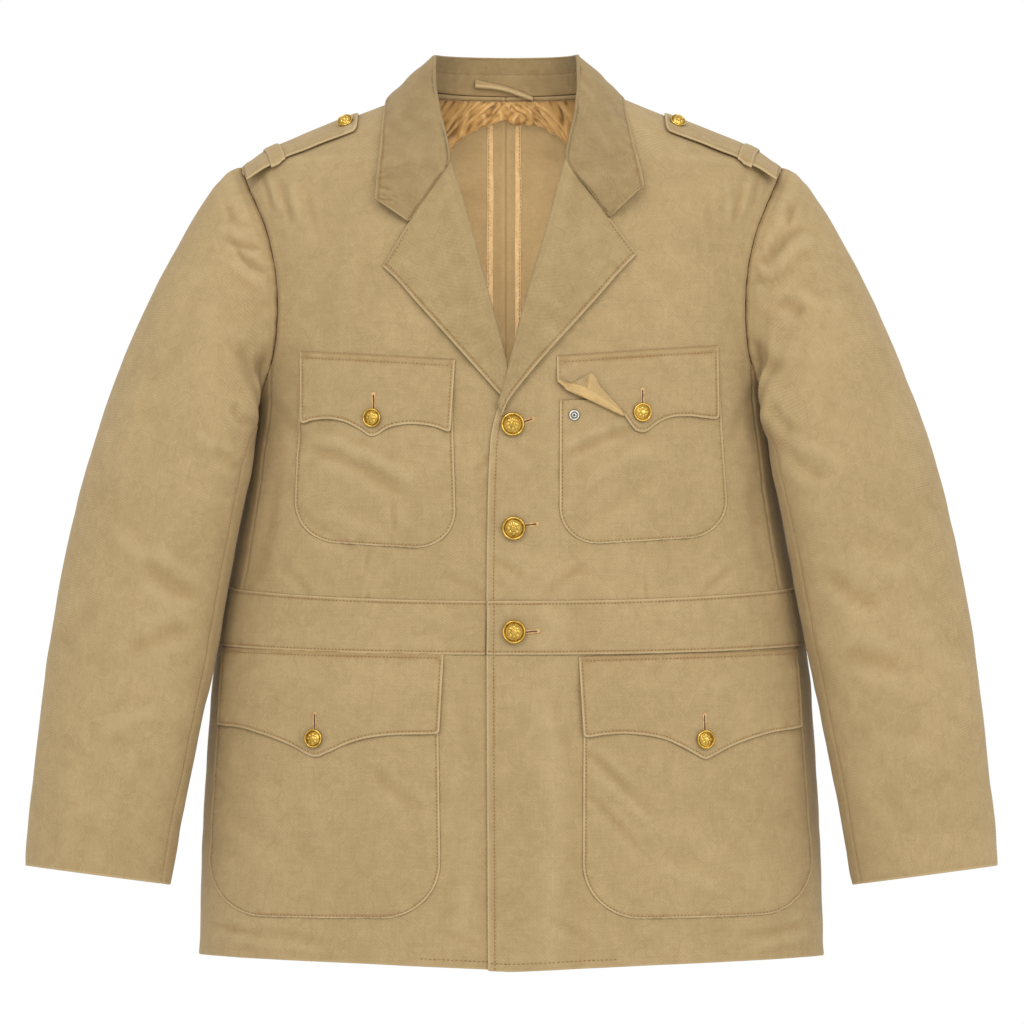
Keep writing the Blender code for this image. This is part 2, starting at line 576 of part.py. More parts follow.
for name, (side, ti, to, bi, bo, drop, rise, tip) in FLAPS.items():
    p = np.array([0.0, 0.14, 0.28, 0.42, tip, 0.65, 0.76, 0.86, 0.94, 1.0])
    q = np.array([0.0, 0.25, 0.5, 0.75, 1.0])
    tall = ti[1] - bi[1]
    place = quad(ti, to, bi, bo, *np.meshgrid(p, q))
    low = place[-1, :, 1] - flap_edge(p, drop, rise, tip)
    place[..., 1] = place[0, :, 1] + q[:, None] * (low - place[0, :, 1])[None, :]
    lift = np.full(place.shape[:2], 2 * LAYER + 0.6)
    if name in TURN_UP:
        (ax, az), (bx, bz) = TURN_UP[name]
        fold_z = np.interp(place[0, :, 0], [ax, bx], [az, bz])
        turned = place[0, :, 0] < bx - 4
        wing = np.array([bx - ax, bz - az]) / math.hypot(bx - ax, bz - az)
        cols = []
        for j in range(len(p)):
            x0, top, bottom = place[0, j, 0], place[0, j, 1], place[-1, j, 1]
            if turned[j]:
                stop = fold_z[j]
                zs = np.concatenate([np.linspace(top, stop, 4), stop - (stop - bottom) * np.array([0.05, 0.5, 1.0])])
                xs = np.full(zs.shape, x0)
                for k in range(4, 7):          # mirrored over the fold line
                    d = np.array([xs[k] - ax, zs[k] - az])
                    d = 2 * wing * np.dot(wing, d) - d
                    xs[k], zs[k] = ax + d[0], az + d[1]
                ups = np.array([0, 0, 0, 1.2, 2.9, 4.5, 5.5])
            else:
                zs = np.concatenate([np.linspace(top, bottom + 9, 4), bottom + np.array([6.0, 3.0, 0.0])])
                xs = np.full(zs.shape, x0)
                ups = np.zeros(7)
            cols.append(np.stack([xs, zs, 2 * LAYER + 0.6 + ups], -1))
        place = np.stack(cols, 1)
        lift = place[..., 2]
    pts = on_front(place[..., 0], place[..., 1], lift + under_of(side)(place[..., 0]))
    pts[..., 0] *= side
    cloth(name, pts)

# ---- shoulder straps and their loops ----------------------------------------------------------------------------------
for word, sign in (("right", -1), ("left", 1)):
    across = np.linspace(-1, 1, 6)
    x_rows = np.array([227.0, 212.0, 196.0, 178.0, 160.0, 146.0])
    x = np.repeat(x_rows[:, None], 6, 1)
    x[-1] = 143.0 - 11.0 * (1 - np.abs(across) ** 1.5)
    y = STRAP_Y + across[None, :] * STRAP_HALF * np.where(x > 225, 0.92, 1.0)
    pts = on_shoulder(x, y, LAYER + 1.0 + 1.6 * np.abs(across[None, :]) ** 2 * (x > 150))
    pts[..., 0] *= sign
    cloth("epaulette_" + word, pts)
    ax = np.linspace(-1, 1, 7)
    x = np.repeat(np.array([208.5, 196.5])[:, None], 7, 1)
    y = STRAP_Y + np.repeat(ax[None, :], 2, 0) * (STRAP_HALF + 3.0)
    pts = on_shoulder(x, y, 2 * LAYER + 1.5 + 1.6 * np.abs(ax[None, :]) ** 2)
    pts[..., 0] *= sign
    cloth("epaulette_loop_" + word, pts)


# ---- inside of the neck -----------------------------------------------------------------------------------------------
def lining_low(deg):
    return -11.5 - 34.0 * np.clip((np.abs(deg) - 25.0) / 60.0, 0, 1) ** 1.3


deg = np.linspace(-82.0, 82.0, 13)
share = np.linspace(0, 1, 4)[:, None]
z = lining_low(deg)[None, :] + share * (NECK_Z - 1.5 - lining_low(deg))[None, :]
t = math.pi - np.radians(np.repeat(deg[None, :], 4, 0))
cloth("neck_lining", on_body(t, z, np.full(t.shape, -LAYER)), LINING, SATIN)

for word, x_low, x_high, z_low in (("right", -21.5, -16.5, -300.0), ("left", 3.5, 8.5, -300.0)):
    z = np.linspace(-18.0, z_low, 8)
    x = spread(np.full(8, x_low), np.full(8, x_high), 2)
    zz = np.repeat(z[:, None], 2, 1)
    t = math.pi - turn_at(x, zz)
    cloth("seam_binding_" + word, on_body(t, zz, np.full(t.shape, -LAYER - np.where(zz > -50, LAYER, 0))), LINING, SATIN)

# hanger loop: a narrow self-cloth strip inside the stand, tacked at both ends and sagging between
s = np.linspace(0, 1, 7)
hang_x = -31.0 + 48.0 * s
hang_y = 62.2 - 0.0072 * hang_x ** 2
low = 19.0 - 3.5 * np.sin(np.pi * s) - 6.0 * s
high = 24.0 + 0.5 * s
cloth("hanger_loop", np.stack([np.stack([hang_x, hang_y - 0.5, low], -1), np.stack([hang_x, hang_y - 0.5, high], -1)]))


# ---- buttons and eyelet -----------------------------------------------------------------------------------------------
def stand_on(ob, point, out):
    ob.matrix_world = Matrix.Translation(Vector(point) * MM) @ Vector(out).to_track_quat("Z", "Y").to_matrix().to_4x4()


def button(name, size, point, out):
    bm = bmesh.new()
    vs = [bm.verts.new((r * size / 2 * MM, 0, h * size * 0.30 * MM)) for r, h in BUTTON_OUTLINE]
    for a, b in zip(vs, vs[1:]):
        bm.edges.new((a, b))
    mesh = bpy.data.meshes.new(name)
    bm.to_mesh(mesh)
    bm.free()
    ob = link(name, mesh, BRASS)
    turn = ob.modifiers.new("turn", "SCREW")
    turn.axis = "Z"
    turn.steps = turn.render_steps = 12
    turn.use_merge_vertices = True
    turn.merge_threshold = 0.00005
    stand_on(ob, point, out)


for name, (x, z, size, layers) in FRONT_BUTTONS.items():
    side = 1 if x > -50 and "right" not in name else -1
    bx, bz = np.array(abs(x) if side < 0 else x), np.array(z)
    t = turn_at(bx, bz)
    high = layers * LAYER + 0.8 + CLOTH / 2 + 0.5 + float(under_of(side)(bx))
    if "front" in name:
        high -= LAYER
    p, n = on_body(t, bz, np.array(high)), body_out(t, bz)
    p[0] *= side
    n[0] *= side
    button(name, size, p, n)

for word, sign in (("right", -1), ("left", 1)):
    x, y = np.array(143.0), np.array(STRAP_Y)
    p = on_shoulder(x, y, np.array(LAYER + 1.0 + CLOTH / 2 + 0.5))
    n = on_shoulder(x, y, np.array(1.0)) - on_shoulder(x, y, np.array(0.0))
    p[0] *= sign
    n[0] *= sign
    button("button_epaulette_" + word, STRAP_BUTTON, p, n)

ring = bpy.data.meshes.new("pocket_eyelet")
bm = bmesh.new()
loop = [bm.verts.new(((3.6 + 1.1 * math.cos(a)) * MM, 0, 1.1 * math.sin(a) * MM)) for a in np.radians(np.arange(0, 360, 60))]
for i in range(6):
    bm.edges.new((loop[i - 1], loop[i]))
bm.to_mesh(ring)
bm.free()
eyelet = link("pocket_eyelet", ring, NICKEL)
turn = eyelet.modifiers.new("turn", "SCREW")
turn.axis = "Z"
turn.steps = turn.render_steps = 16
turn.use_merge_vertices = True
turn.merge_threshold = 0.00005
turn.use_normal_flip = True
ex, ez = np.array(52.1), np.array(-273.9)
et = turn_at(ex, ez)
stand_on(eyelet, on_body(et, ez, np.array(LAYER + 0.6 + float(raise_left(ex)) + CLOTH / 2 + 1.6)), body_out(et, ez))
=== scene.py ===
import math

import bpy
import numpy as np
from mathutils import Matrix, Vector


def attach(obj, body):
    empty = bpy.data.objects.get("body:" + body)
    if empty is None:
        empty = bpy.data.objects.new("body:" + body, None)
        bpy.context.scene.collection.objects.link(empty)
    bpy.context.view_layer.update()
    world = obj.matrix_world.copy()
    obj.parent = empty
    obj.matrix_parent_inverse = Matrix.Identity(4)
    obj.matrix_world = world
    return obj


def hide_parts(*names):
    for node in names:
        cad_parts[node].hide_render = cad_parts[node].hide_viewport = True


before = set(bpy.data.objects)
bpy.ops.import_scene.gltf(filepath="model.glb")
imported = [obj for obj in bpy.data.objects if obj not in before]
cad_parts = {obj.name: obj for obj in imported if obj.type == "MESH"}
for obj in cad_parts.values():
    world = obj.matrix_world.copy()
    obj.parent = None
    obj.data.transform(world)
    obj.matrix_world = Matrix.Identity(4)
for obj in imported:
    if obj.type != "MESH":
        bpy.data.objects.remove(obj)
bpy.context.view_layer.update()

MM = 0.001
scene = bpy.context.scene

# ---- camera ---------------------------------------------------------------------------------------------------------------
CAMERA_AWAY = 3400.0
VIEW_WIDTH = 1024 * 0.86
cam = bpy.data.cameras.new("camera")
cam.sensor_width = 36.0
cam.lens = 36.0 * CAMERA_AWAY / VIEW_WIDTH
cam.clip_end = 60.0
camera = bpy.data.objects.new("camera", cam)
camera.location = (0.00043, -CAMERA_AWAY * MM, -0.3543)
camera.rotation_euler = (math.pi / 2, 0, 0)
scene.collection.objects.link(camera)
scene.camera = camera

# ---- sizes ----------------------------------------------------------------------------------------------------------------
WALL = 1.2
OVER_WALL = 0.9
LAYER = 2.0
SEAM = 0.4
WAIST_Z = -449.0
HEM_Z = -734.0
NECK_Z = 9.0
ARM_MID_Z, ARM_HALF = -166.0, 108.0
ARM_FRONT, ARM_BACK = math.radians(30.5), math.radians(23.0)
BACK_SEAM_X = -5.0
BELT_SEAM, SIDE_SEAM = math.radians(72.0), math.radians(96.0)
STRAP_Y, STRAP_HALF = -20.0, 21.0
BIG_BUTTON, POCKET_BUTTON, STRAP_BUTTON = 20.0, 16.0, 14.0

# body form: height, half width, depth to the front, depth to the back, y of the widest line, squareness of the section
BODY = [
    (-740.0, 268.0, 126.0, 106.0, 4.0, 2.35), (-645.0, 265.0, 125.0, 105.0, 4.0, 2.35),
    (-560.0, 260.5, 123.0, 102.0, 4.0, 2.35), (-500.0, 256.0, 121.0, 98.0, 4.0, 2.35),
    (-473.0, 253.0, 120.0, 96.0, 4.0, 2.35), (-430.0, 246.5, 119.0, 95.0, 4.0, 2.35),
    (-387.0, 238.5, 120.0, 99.0, 5.0, 2.35), (-344.0, 231.5, 123.0, 104.0, 6.0, 2.35),
    (-300.0, 226.0, 125.0, 108.0, 7.0, 2.35), (-275.0, 222.0, 125.0, 110.0, 8.0, 2.35),
    (-230.0, 221.0, 123.0, 112.0, 8.0, 2.30), (-176.0, 225.5, 117.0, 112.0, 8.0, 2.25),
    (-120.0, 231.0, 108.0, 108.0, 8.0, 2.15), (-80.0, 235.0, 100.0, 100.0, 8.0, 2.00),
    (-60.0, 233.0, 95.0, 94.0, 8.0, 1.85), (-46.0, 210.0, 90.0, 90.0, 7.0, 1.75),
    (-34.0, 182.0, 84.0, 85.0, 6.0, 1.70), (-22.0, 152.0, 76.0, 80.0, 5.0, 1.70),
    (-10.0, 121.0, 66.0, 74.0, 4.0, 1.75), (2.0, 91.0, 55.0, 68.0, 3.0, 1.85), (12.0, 69.0, 46.0, 63.0, 2.0, 2.00),
]
# free edge of each front: height, x of the edge towards the middle (own side counted positive)
EDGE_RIGHT = [(-740.0, -20.0), (-300.0, -20.0), (-262.0, -4.0), (-237.0, 2.9), (-164.0, 23.0), (-97.0, 40.8),
              (-58.5, 52.9), (-30.0, 60.0), (-8.0, 66.0), (12.0, 69.0)]
EDGE_LEFT = [(-740.0, -19.0), (-430.0, -20.3), (-361.0, -19.5), (-295.0, -17.0), (-268.0, -11.2), (-254.0, -7.2),
             (-237.0, -2.3), (-188.0, 10.4), (-119.0, 30.2), (-60.5, 46.0), (-30.0, 57.0), (-8.0, 66.0), (12.0, 69.0)]
# lapels from the gorge down: height on the roll line, x and height of the outer edge
LAPEL_RIGHT = [(-58.5, 107.3, -148.7), (-90.0, 96.0, -159.5), (-126.0, 79.0, -179.0), (-167.0, 56.0, -204.5),
               (-205.0, 31.0, -232.5), (-229.0, 13.0, -252.5), (-243.0, 6.0, -260.0)]
LAPEL_LEFT = [(-60.5, 104.2, -138.8), (-92.0, 91.0, -152.5), (-128.0, 71.0, -175.5), (-169.0, 46.0, -203.5),
              (-214.0, 18.0, -235.0), (-251.0, -3.5, -263.0), (-266.0, -8.0, -274.0)]
# collar: fold x, y, z and free edge x, y, z, from the centre back round to the end at the notch
COLLAR_LEFT = [
    (0.0, 66.0, 42.0, 0.0, 86.0, -6.0), (33.0, 57.0, 41.5, 46.0, 76.0, -5.0), (52.5, 30.0, 39.8, 79.0, 48.0, -1.5),
    (58.0, 0.0, 37.5, 95.5, 4.0, 2.0), (58.5, -28.0, 14.0, 98.0, -46.0, -18.5),
    (55.5, -56.0, -14.0, 102.0, -74.0, -42.0), (46.8, -89.0, -57.0, 107.0, -83.0, -62.0),
    (66.0, -97.0, -84.0, 109.0, -87.0, -71.0), (82.6, -98.0, -107.0, 110.5, -90.0, -80.6),
]
COLLAR_RIGHT = [
    (0.0, 66.0, 42.0, 0.0, 86.0, -6.0), (36.0, 57.0, 41.5, 49.0, 76.0, -5.0), (58.0, 30.0, 39.5, 88.0, 47.0, -1.0),
    (67.5, 0.0, 37.0, 106.0, 4.0, 1.5), (67.0, -28.0, 14.0, 109.0, -44.0, -20.0),
    (62.5, -56.0, -14.0, 110.0, -73.0, -46.0), (53.0, -89.0, -57.0, 112.0, -84.0, -66.0),
    (70.0, -97.0, -85.0, 113.0, -88.0, -78.0), (86.6, -98.0, -111.0, 113.7, -92.0, -92.1),
]
# sleeve rings: outer x, y, z; inner x, y, z; half depth front, half depth back; rise of the front; pull to the armhole
SLEEVE = [
    (250.0, 5.0, -67.0, 226.0, 2.0, -276.0, 67.0, 68.0, 0.0, 0.70),
    (268.0, 1.0, -94.5, 226.5, -11.0, -280.0, 66.0, 66.0, 0.0, 0.48),
    (289.0, -5.0, -132.0, 219.0, -33.0, -289.0, 65.0, 64.0, 0.0, 0.30),
    (311.5, -11.0, -178.0, 218.0, -53.0, -301.5, 64.0, 62.0, 0.0, 0.15),
    (335.5, -17.0, -236.0, 220.5, -60.0, -320.0, 62.0, 61.0, 0.0, 0.05),
    (358.0, -23.0, -301.5, 226.5, -59.0, -348.0, 60.0, 60.0, 0.5, 0.0),
    (376.3, -29.0, -374.0, 236.8, -54.0, -397.0, 57.0, 58.0, 1.0, 0.0),
    (390.6, -36.0, -453.0, 250.7, -53.0, -473.7, 55.0, 55.0, 2.0, 0.0),
    (400.0, -43.0, -527.0, 265.7, -55.0, -547.0, 52.0, 52.0, 3.0, 0.0),
    (406.7, -50.0, -598.0, 280.2, -58.0, -618.0, 48.0, 48.0, 4.0, 0.0),
    (410.2, -55.0, -653.0, 289.0, -60.0, -668.6, 45.0, 45.0, 4.5, 0.0),
]
SLEEVE_FRONT_SEAM, SLEEVE_BACK_SEAM = -66.0, -144.0
# pockets: side (+1 wearer's left), corners top inner, top outer, bottom inner, bottom outer as x, z; corner radius
POCKETS = {
    "chest_pocket_right": (-1, (49.5, -262.0), (178.0, -258.0), (46.0, -386.0), (183.0, -378.0), 34.0),
    "chest_pocket_left": (1, (40.5, -262.0), (175.0, -258.0), (40.3, -382.5), (182.5, -374.0), 32.0),
    "hip_pocket_right": (-1, (61.5, -512.0), (248.0, -508.0), (59.0, -691.0), (259.0, -694.0), 46.0),
    "hip_pocket_left": (1, (60.5, -512.0), (245.0, -508.0), (59.5, -692.0), (258.5, -692.0), 46.0),
}
# flaps: side, top inner, top outer, bottom inner, bottom outer, drop of the point, rise of the hollows, share of the point
FLAPS = {
    "chest_flap_right": (-1, (47.3, -228.2), (177.8, -219.8), (50.9, -287.2), (177.6, -279.6), 8.5, 5.5, 0.50),
    "chest_flap_left": (1, (38.0, -225.3), (173.6, -215.2), (38.3, -281.2), (174.0, -275.7), 9.5, 4.5, 0.53),
    "hip_flap_right": (-1, (56.8, -472.8), (246.1, -469.5), (60.4, -538.0), (249.4, -533.9), 22.5, -2.5, 0.555),
    "hip_flap_left": (1, (56.3, -475.0), (242.1, -471.1), (60.3, -540.4), (247.2, -535.7), 23.5, -2.0, 0.545),
}
TURN_FROM, TURN_TO = (38.6, -245.2), (93.2, -273.8)      # fold line of the flap corner that is turned up
# buttons: x, z, diameter, layers under it
BUTTONS = {
    "button_front_1": (1.0, -281.6, BIG_BUTTON, 1.0), "button_front_2": (1.8, -367.6, BIG_BUTTON, 1.0),
    "button_front_3": (2.1, -453.8, BIG_BUTTON, 2.0), "button_chest_right": (-115.8, -275.9, POCKET_BUTTON, 2.0),
    "button_chest_left": (108.8, -271.3, POCKET_BUTTON, 2.0), "button_hip_right": (-164.9, -543.1, POCKET_BUTTON, 2.0),
    "button_hip_left": (161.8, -543.9, POCKET_BUTTON, 2.0),
}

# ---- creases listed: x0, z0, x1, z1, half width, depth (a trough is below 0), bow -----------------------------------------
FRONT_CREASES = [
    (-213, -68, -203, -98, 4, -0.9, 1), (-206, -68, -195, -100, 4, 0.7, 0), (-198, -70, -186, -110, 4.5, -0.8, 1),
    (-186, -74, -177, -112, 6, 1.0, 0), (-172, -80, -166, -118, 6, -0.8, 0), (-98, -346, -97, -370, 3.5, -1.0, 0),
    (-173, -299, -90, -337, 9, -1.3, 3), (-158, -292, -80, -326, 8, 1.0, 2), (-180, -352, -132, -384, 8, -1.0, -3),
    (-150, -95, -176, -205, 24, -1.6, 6), (-128, -120, -120, -200, 14, -0.7, 0),
    (211, -68, 203, -100, 4, -0.8, 1), (204, -68, 195, -102, 4, 0.6, 0), (196, -70, 187, -112, 5, -0.7, 1),
    (182, -76, 184, -112, 6, 0.9, 0), (165, -84, 167, -122, 6, -0.7, 0),
    (112, -115, 152, -190, 22, -1.3, -5), (140, -170, 120, -212, 12, 0.6, 0),
    (44, -309, 96, -286, 7, -1.3, 2), (56, -334, 118, -300, 12, 0.9, 2), (58, -362, 120, -322, 12, -0.9, -3),
    (-178, -318, -120, -296, 9, -0.8, 2), (-70, -360, -120, -318, 12, -0.7, 2), (-160, -352, -110, -372, 10, 0.7, 0),
    (-14, -296, -30, -322, 5, -0.9, 2), (-6, -300, 14, -318, 5, 0.7, 0), (-17, -392, 10, -408, 6, -0.8, 1),
    (62, -552, 96, -586, 6, -1.3, 2), (64, -570, 118, -618, 8, 1.0, 3), (62, -588, 104, -632, 7, -1.0, 2),
    (-118, -566, -70, -604, 10, -0.8, -2), (-236, -610, -190, -640, 12, -0.8, 3), (-172, -590, -150, -650, 14, 0.7, 0),
    (150, -600, 190, -650, 16, -0.8, 4), (120, -650, 180, -672, 12, 0.7, 2),
    (-252, -704, -208, -710, 5, -0.9, 1), (-240, -712, -196, -718, 5, 0.8, 1), (-216, -703, -160, -712, 6, -0.7, 1),
    (-196, -716, -140, -722, 6, 0.5, 0), (190, -708, 246, -702, 6, -0.8, -1), (206, -718, 250, -712, 5, 0.7, 0),
    (30, -690, 66, -712, 6, -0.7, 1), (-60, -700, -24, -716, 6, -0.6, 0),
    (34, -500, 46, -560, 9, -0.4, 1), (40, -580, 30, -690, 14, 0.3, 2), (-40, -500, -30, -600, 12, -0.4, 0),
    (-34, -620, -44, -710, 12, 0.35, 2), (-60, -405, -20, -425, 8, -0.7, 2), (60, -400, 26, -424, 8, -0.7, -2),
    (-200, -330, -214, -410, 10, -1.2, 2), (-192, -400, -168, -424, 7, -0.8, 1), (204, -320, 214, -404, 10, -1.2, -2),
    (186, -400, 160, -422, 7, -0.8, -1), (-205, -260, -176, -300, 10, -0.9, 3), (206, -250, 184, -300, 10, -0.9, -3),
]
BACK_CREASES = [
    (-170, -90, -150, -200, 16, -1.6, 5), (170, -95, 156, -190, 18, -1.4, -4), (-120, -60, -30, -72, 12, -1.0, 3),
    (110, -56, 36, -66, 12, -0.9, 2), (-205, -300, -120, -360, 16, -1.4, 6), (200, -310, 110, -352, 15, -1.5, -5),
    (-190, -390, -90, -420, 12, -1.1, 4), (186, -392, 70, -424, 13, -1.0, -4), (-60, -180, -40, -330, 22, 1.0, 0),
    (64, -170, 44, -340, 24, 1.0, 0), (-150, -520, -190, -700, 22, -1.6, 4), (140, -510, 176, -690, 22, -1.5, -4),
    (-60, -500, -76, -720, 26, 1.4, 2), (56, -505, 70, -715, 24, 1.3, 0), (10, -560, -4, -730, 18, -1.2, 2),
    (-230, -480, -180, -520, 8, -1.0, 2), (226, -486, 180, -516, 8, -1.0, -2), (-100, -395, -20, -418, 9, 0.8, 0),
    (-220, -690, -190, -726, 8, 1.1, 0), (214, -700, 188, -728, 8, 1.0, 0),
]
# creases of the sleeves as seen from the front (own side counted positive), for the right and the left sleeve
SLEEVE_RIGHT_CREASES = [
    (240, -124, 214, -130, 5, -2.6, 1), (246, -114, 218, -119, 5, 1.3, 0), (232, -131, 206, -151, 5, -2.7, 2),
    (236, -143, 205, -162, 7, 1.5, 2), (240, -92, 237, -108, 6, -1.6, 0), (228, -86, 226, -104, 6, 0.9, 0),
    (224, -210, 203, -240, 15, -2.6, 3), (236, -196, 216, -222, 10, 1.2, 2), (232, -264, 218, -282, 8, -1.8, 2),
    (246, -300, 224, -318, 9, -1.6, 3), (262, -286, 236, -304, 10, 1.0, 2), (304, -392, 266, -424, 13, -2.2, 4),
    (330, -372, 286, -400, 14, 1.2, 3), (272, -452, 318, -470, 14, -1.4, 3), (350, -430, 380, -470, 16, -1.3, 0),
    (296, -520, 344, -540, 15, 1.1, 3), (300, -560, 330, -620, 15, -1.0, 2), (366, -560, 372, -640, 18, 1.0, 0),
    (262, -160, 280, -230, 18, -1.2, 3), (312, -240, 330, -330, 22, 1.1, 2),
]
SLEEVE_LEFT_CREASES = [
    (215, -141, 244, -112, 8, -3.0, 2), (224, -150, 254, -122, 9, 1.8, 2), (206, -129, 216, -144, 4, -1.4, 0),
    (203, -141, 214, -149, 4, 1.1, 0), (203, -152, 214, -158, 4, -1.1, 0), (198, -163, 226, -158, 3.2, -1.5, 1),
    (226, -176, 244, -186, 11, -2.2, 2), (240, -170, 262, -184, 10, 1.0, 1), (204, -213, 222, -236, 12, -1.9, -2),
    (238, -92, 234, -112, 6, -1.6, 0), (228, -96, 226, -116, 6, 0.8, 0), (216, -262, 236, -288, 9, -1.6, -3),
    (228, -300, 262, -326, 10, -1.5, -3), (248, -296, 276, -314, 10, 1.0, 0), (262, -400, 304, -432, 14, -2.0, -4),
    (282, -384, 330, -408, 15, 1.1, -3), (280, -470, 326, -484, 15, -1.3, 0), (352, -420, 378, -476, 17, -1.2, 0),
    (300, -540, 346, -556, 15, 1.0, 0), (310, -580, 336, -634, 14, -1.0, 0), (262, -190, 284, -250, 18, -1.1, 0),
    (318, -250, 336, -330, 22, 1.0, 0),
]
SLEEVE_BACK_CREASES = [
    (240, -120, 214, -150, 8, -2.4, 2), (256, -140, 216, -178, 10, 1.5, 3), (232, -230, 214, -262, 12, -2.0, 2),
    (300, -360, 256, -392, 13, -2.4, 4), (334, -348, 280, -372, 14, 1.3, 3), (314, -410, 266, -440, 12, -1.8, 4),
    (360, -420, 320, -470, 15, -1.4, 0), (300, -520, 350, -548, 16, 1.1, 3), (320, -580, 372, -610, 15, -1.0, 2),
]


# ---- tools ----------------------------------------------------------------------------------------------------------------
def smooth(xs, ys):
    """Curve through the rows of a table that never swings past them."""
    xs, ys = np.asarray(xs, float), np.asarray(ys, float)
    if xs[0] > xs[-1]:
        xs, ys = xs[::-1], ys[::-1]
    h = np.diff(xs)
    d = np.diff(ys) / h
    m = np.zeros_like(ys)
    m[0], m[-1] = d[0], d[-1]
    for i in range(1, len(xs) - 1):
        if d[i - 1] * d[i] > 0:
            w1, w2 = 2 * h[i] + h[i - 1], h[i] + 2 * h[i - 1]
            m[i] = (w1 + w2) / (w1 / d[i - 1] + w2 / d[i])

    def at(x):
        x = np.clip(x, xs[0], xs[-1])
        i = np.clip(np.searchsorted(xs, x) - 1, 0, len(h) - 1)
        s = (x - xs[i]) / h[i]
        return ((1 + 2 * s) * (1 - s) ** 2 * ys[i] + s * (1 - s) ** 2 * h[i] * m[i]
                + s * s * (3 - 2 * s) * ys[i + 1] + s * s * (s - 1) * h[i] * m[i + 1])
    return at


def step(v):
    v = np.clip(v, 0, 1)
    return v * v * (3 - 2 * v)


def noise(x, y, seed=0):
    """Soft uneven field from -1 to 1, about one swell per unit."""
    x, y = np.broadcast_arrays(np.asarray(x, float), np.asarray(y, float))
    ix, iy = np.floor(x).astype(np.int64), np.floor(y).astype(np.int64)
    fx, fy = x - ix, y - iy
    sx, sy = fx ** 3 * (fx * (fx * 6 - 15) + 10), fy ** 3 * (fy * (fy * 6 - 15) + 10)

    def lot(a, b):
        h = (a * 374761393 + b * 668265263 + seed * 974711) & 0xFFFFFFFF
        h = ((h ^ (h >> 13)) * 1274126177) & 0xFFFFFFFF
        return ((h ^ (h >> 16)) & 0xFFFF) / 32767.5 - 1
    low = lot(ix, iy) * (1 - sx) + lot(ix + 1, iy) * sx
    high = lot(ix, iy + 1) * (1 - sx) + lot(ix + 1, iy + 1) * sx
    return low * (1 - sy) + high * sy


def creases(x, z, rows):
    """Soft troughs and ridges along short lines."""
    total = np.zeros(np.shape(x))
    for x0, z0, x1, z1, wide, depth, bow in rows:
        long = math.hypot(x1 - x0, z1 - z0)
        ux, uz = (x1 - x0) / long, (z1 - z0) / long
        a = ((x - x0) * ux + (z - z0) * uz) / long
        near = (a > -0.3) & (a < 1.3)
        d = -(x - x0) * uz + (z - z0) * ux - bow * 4 * a * (1 - a)
        fade = step((a + 0.18) / 0.42) * step((1.18 - a) / 0.42)
        q = d / (0.74 * wide)
        total += np.where(near, depth * fade * (1 - 0.62 * q * q) * np.exp(-0.75 * q * q), 0.0)
    return total


BODY_Z = [r[0] for r in BODY]
half_width, depth_front, depth_back, middle_y, square = [smooth(BODY_Z, [r[k] for r in BODY]) for k in range(1, 6)]
edge_right = smooth([r[0] for r in EDGE_RIGHT], [r[1] for r in EDGE_RIGHT])
edge_left = smooth([r[0] for r in EDGE_LEFT], [r[1] for r in EDGE_LEFT])


def power(v, p):
    return np.sign(v) * np.abs(v) ** p


def body(t, z):
    """Point of the body form; t turns from the centre front (0) to the wearer's left side and on to the back."""
    t, z = np.broadcast_arrays(np.asarray(t, float), np.asarray(z, float))
    n = square(z)
    c = np.cos(t)
    depth = np.where(c > 0, depth_front(z), depth_back(z))
    return np.stack([half_width(z) * power(np.sin(t), 2 / n), middle_y(z) - depth * power(c, 2 / n), z], -1)


def body_out(t, z):
    e, f = 0.02, 1.5
    n = np.cross(body(t + e, z) - body(t - e, z), body(t, z + f) - body(t, z - f))
    return n / np.linalg.norm(n, axis=-1, keepdims=True)


def turn_at(x, z):
    share = np.clip(np.abs(x) / half_width(z), 0, 1)
    return np.sign(x) * np.arcsin(share ** (square(z) / 2))


def swell(t, z):
    """How far the cloth of the body stands off its form: creases in front and at the back and slow unevenness."""
    t, z = np.broadcast_arrays(np.asarray(t, float), np.asarray(z, float))
    p = body(t, z)
    fore = step((np.cos(t) + 0.12) / 0.3)
    d = 1.35 * fore * creases(p[..., 0], z, FRONT_CREASES) + 1.4 * (1 - fore) * creases(p[..., 0], z, BACK_CREASES)
    round_mm = p[..., 0] * np.where(np.cos(t) > 0, 1, -1)
    d = d + 0.8 * noise(round_mm / 70 + 9, z / 95, 3) + 0.5 * noise(round_mm / 26 + z / 60, z / 22, 5)
    side_t = np.abs(t)
    ring = np.hypot((side_t - math.pi / 2) / np.where(side_t < math.pi / 2, ARM_FRONT, ARM_BACK), (z - ARM_MID_Z) / ARM_HALF)
    d = d * step((ring - 1) * 90 / 9)
    return d * step((8 - z) / 40) * step((z + 733) / 10 * 0.6 + 0.4)


def on_body(t, z, out):
    return body(t, z) + body_out(t, z) * (np.asarray(out, float) + swell(t, z))[..., None]


def on_front(x, z, out, side=1):
    """Point above the front at own x and height; out is counted from the cloth's own form."""
    x, z = np.broadcast_arrays(np.asarray(x, float), np.asarray(z, float))
    t = turn_at(x, z)
    n = body_out(t, z)
    t = turn_at(x - n[..., 0] * np.broadcast_to(out, x.shape), z - n[..., 2] * np.broadcast_to(out, x.shape))
    zz = z - n[..., 2] * np.broadcast_to(out, x.shape)
    p = body(t, zz) + body_out(t, zz) * (np.broadcast_to(out, x.shape) + swell(t * side, zz))[..., None]
    p[..., 0] *= side
    return p


def raise_left(x):
    return (LAYER + 0.7) * step((62.0 - x) / 34.0)


def flat(x):
    return np.zeros(np.shape(x))


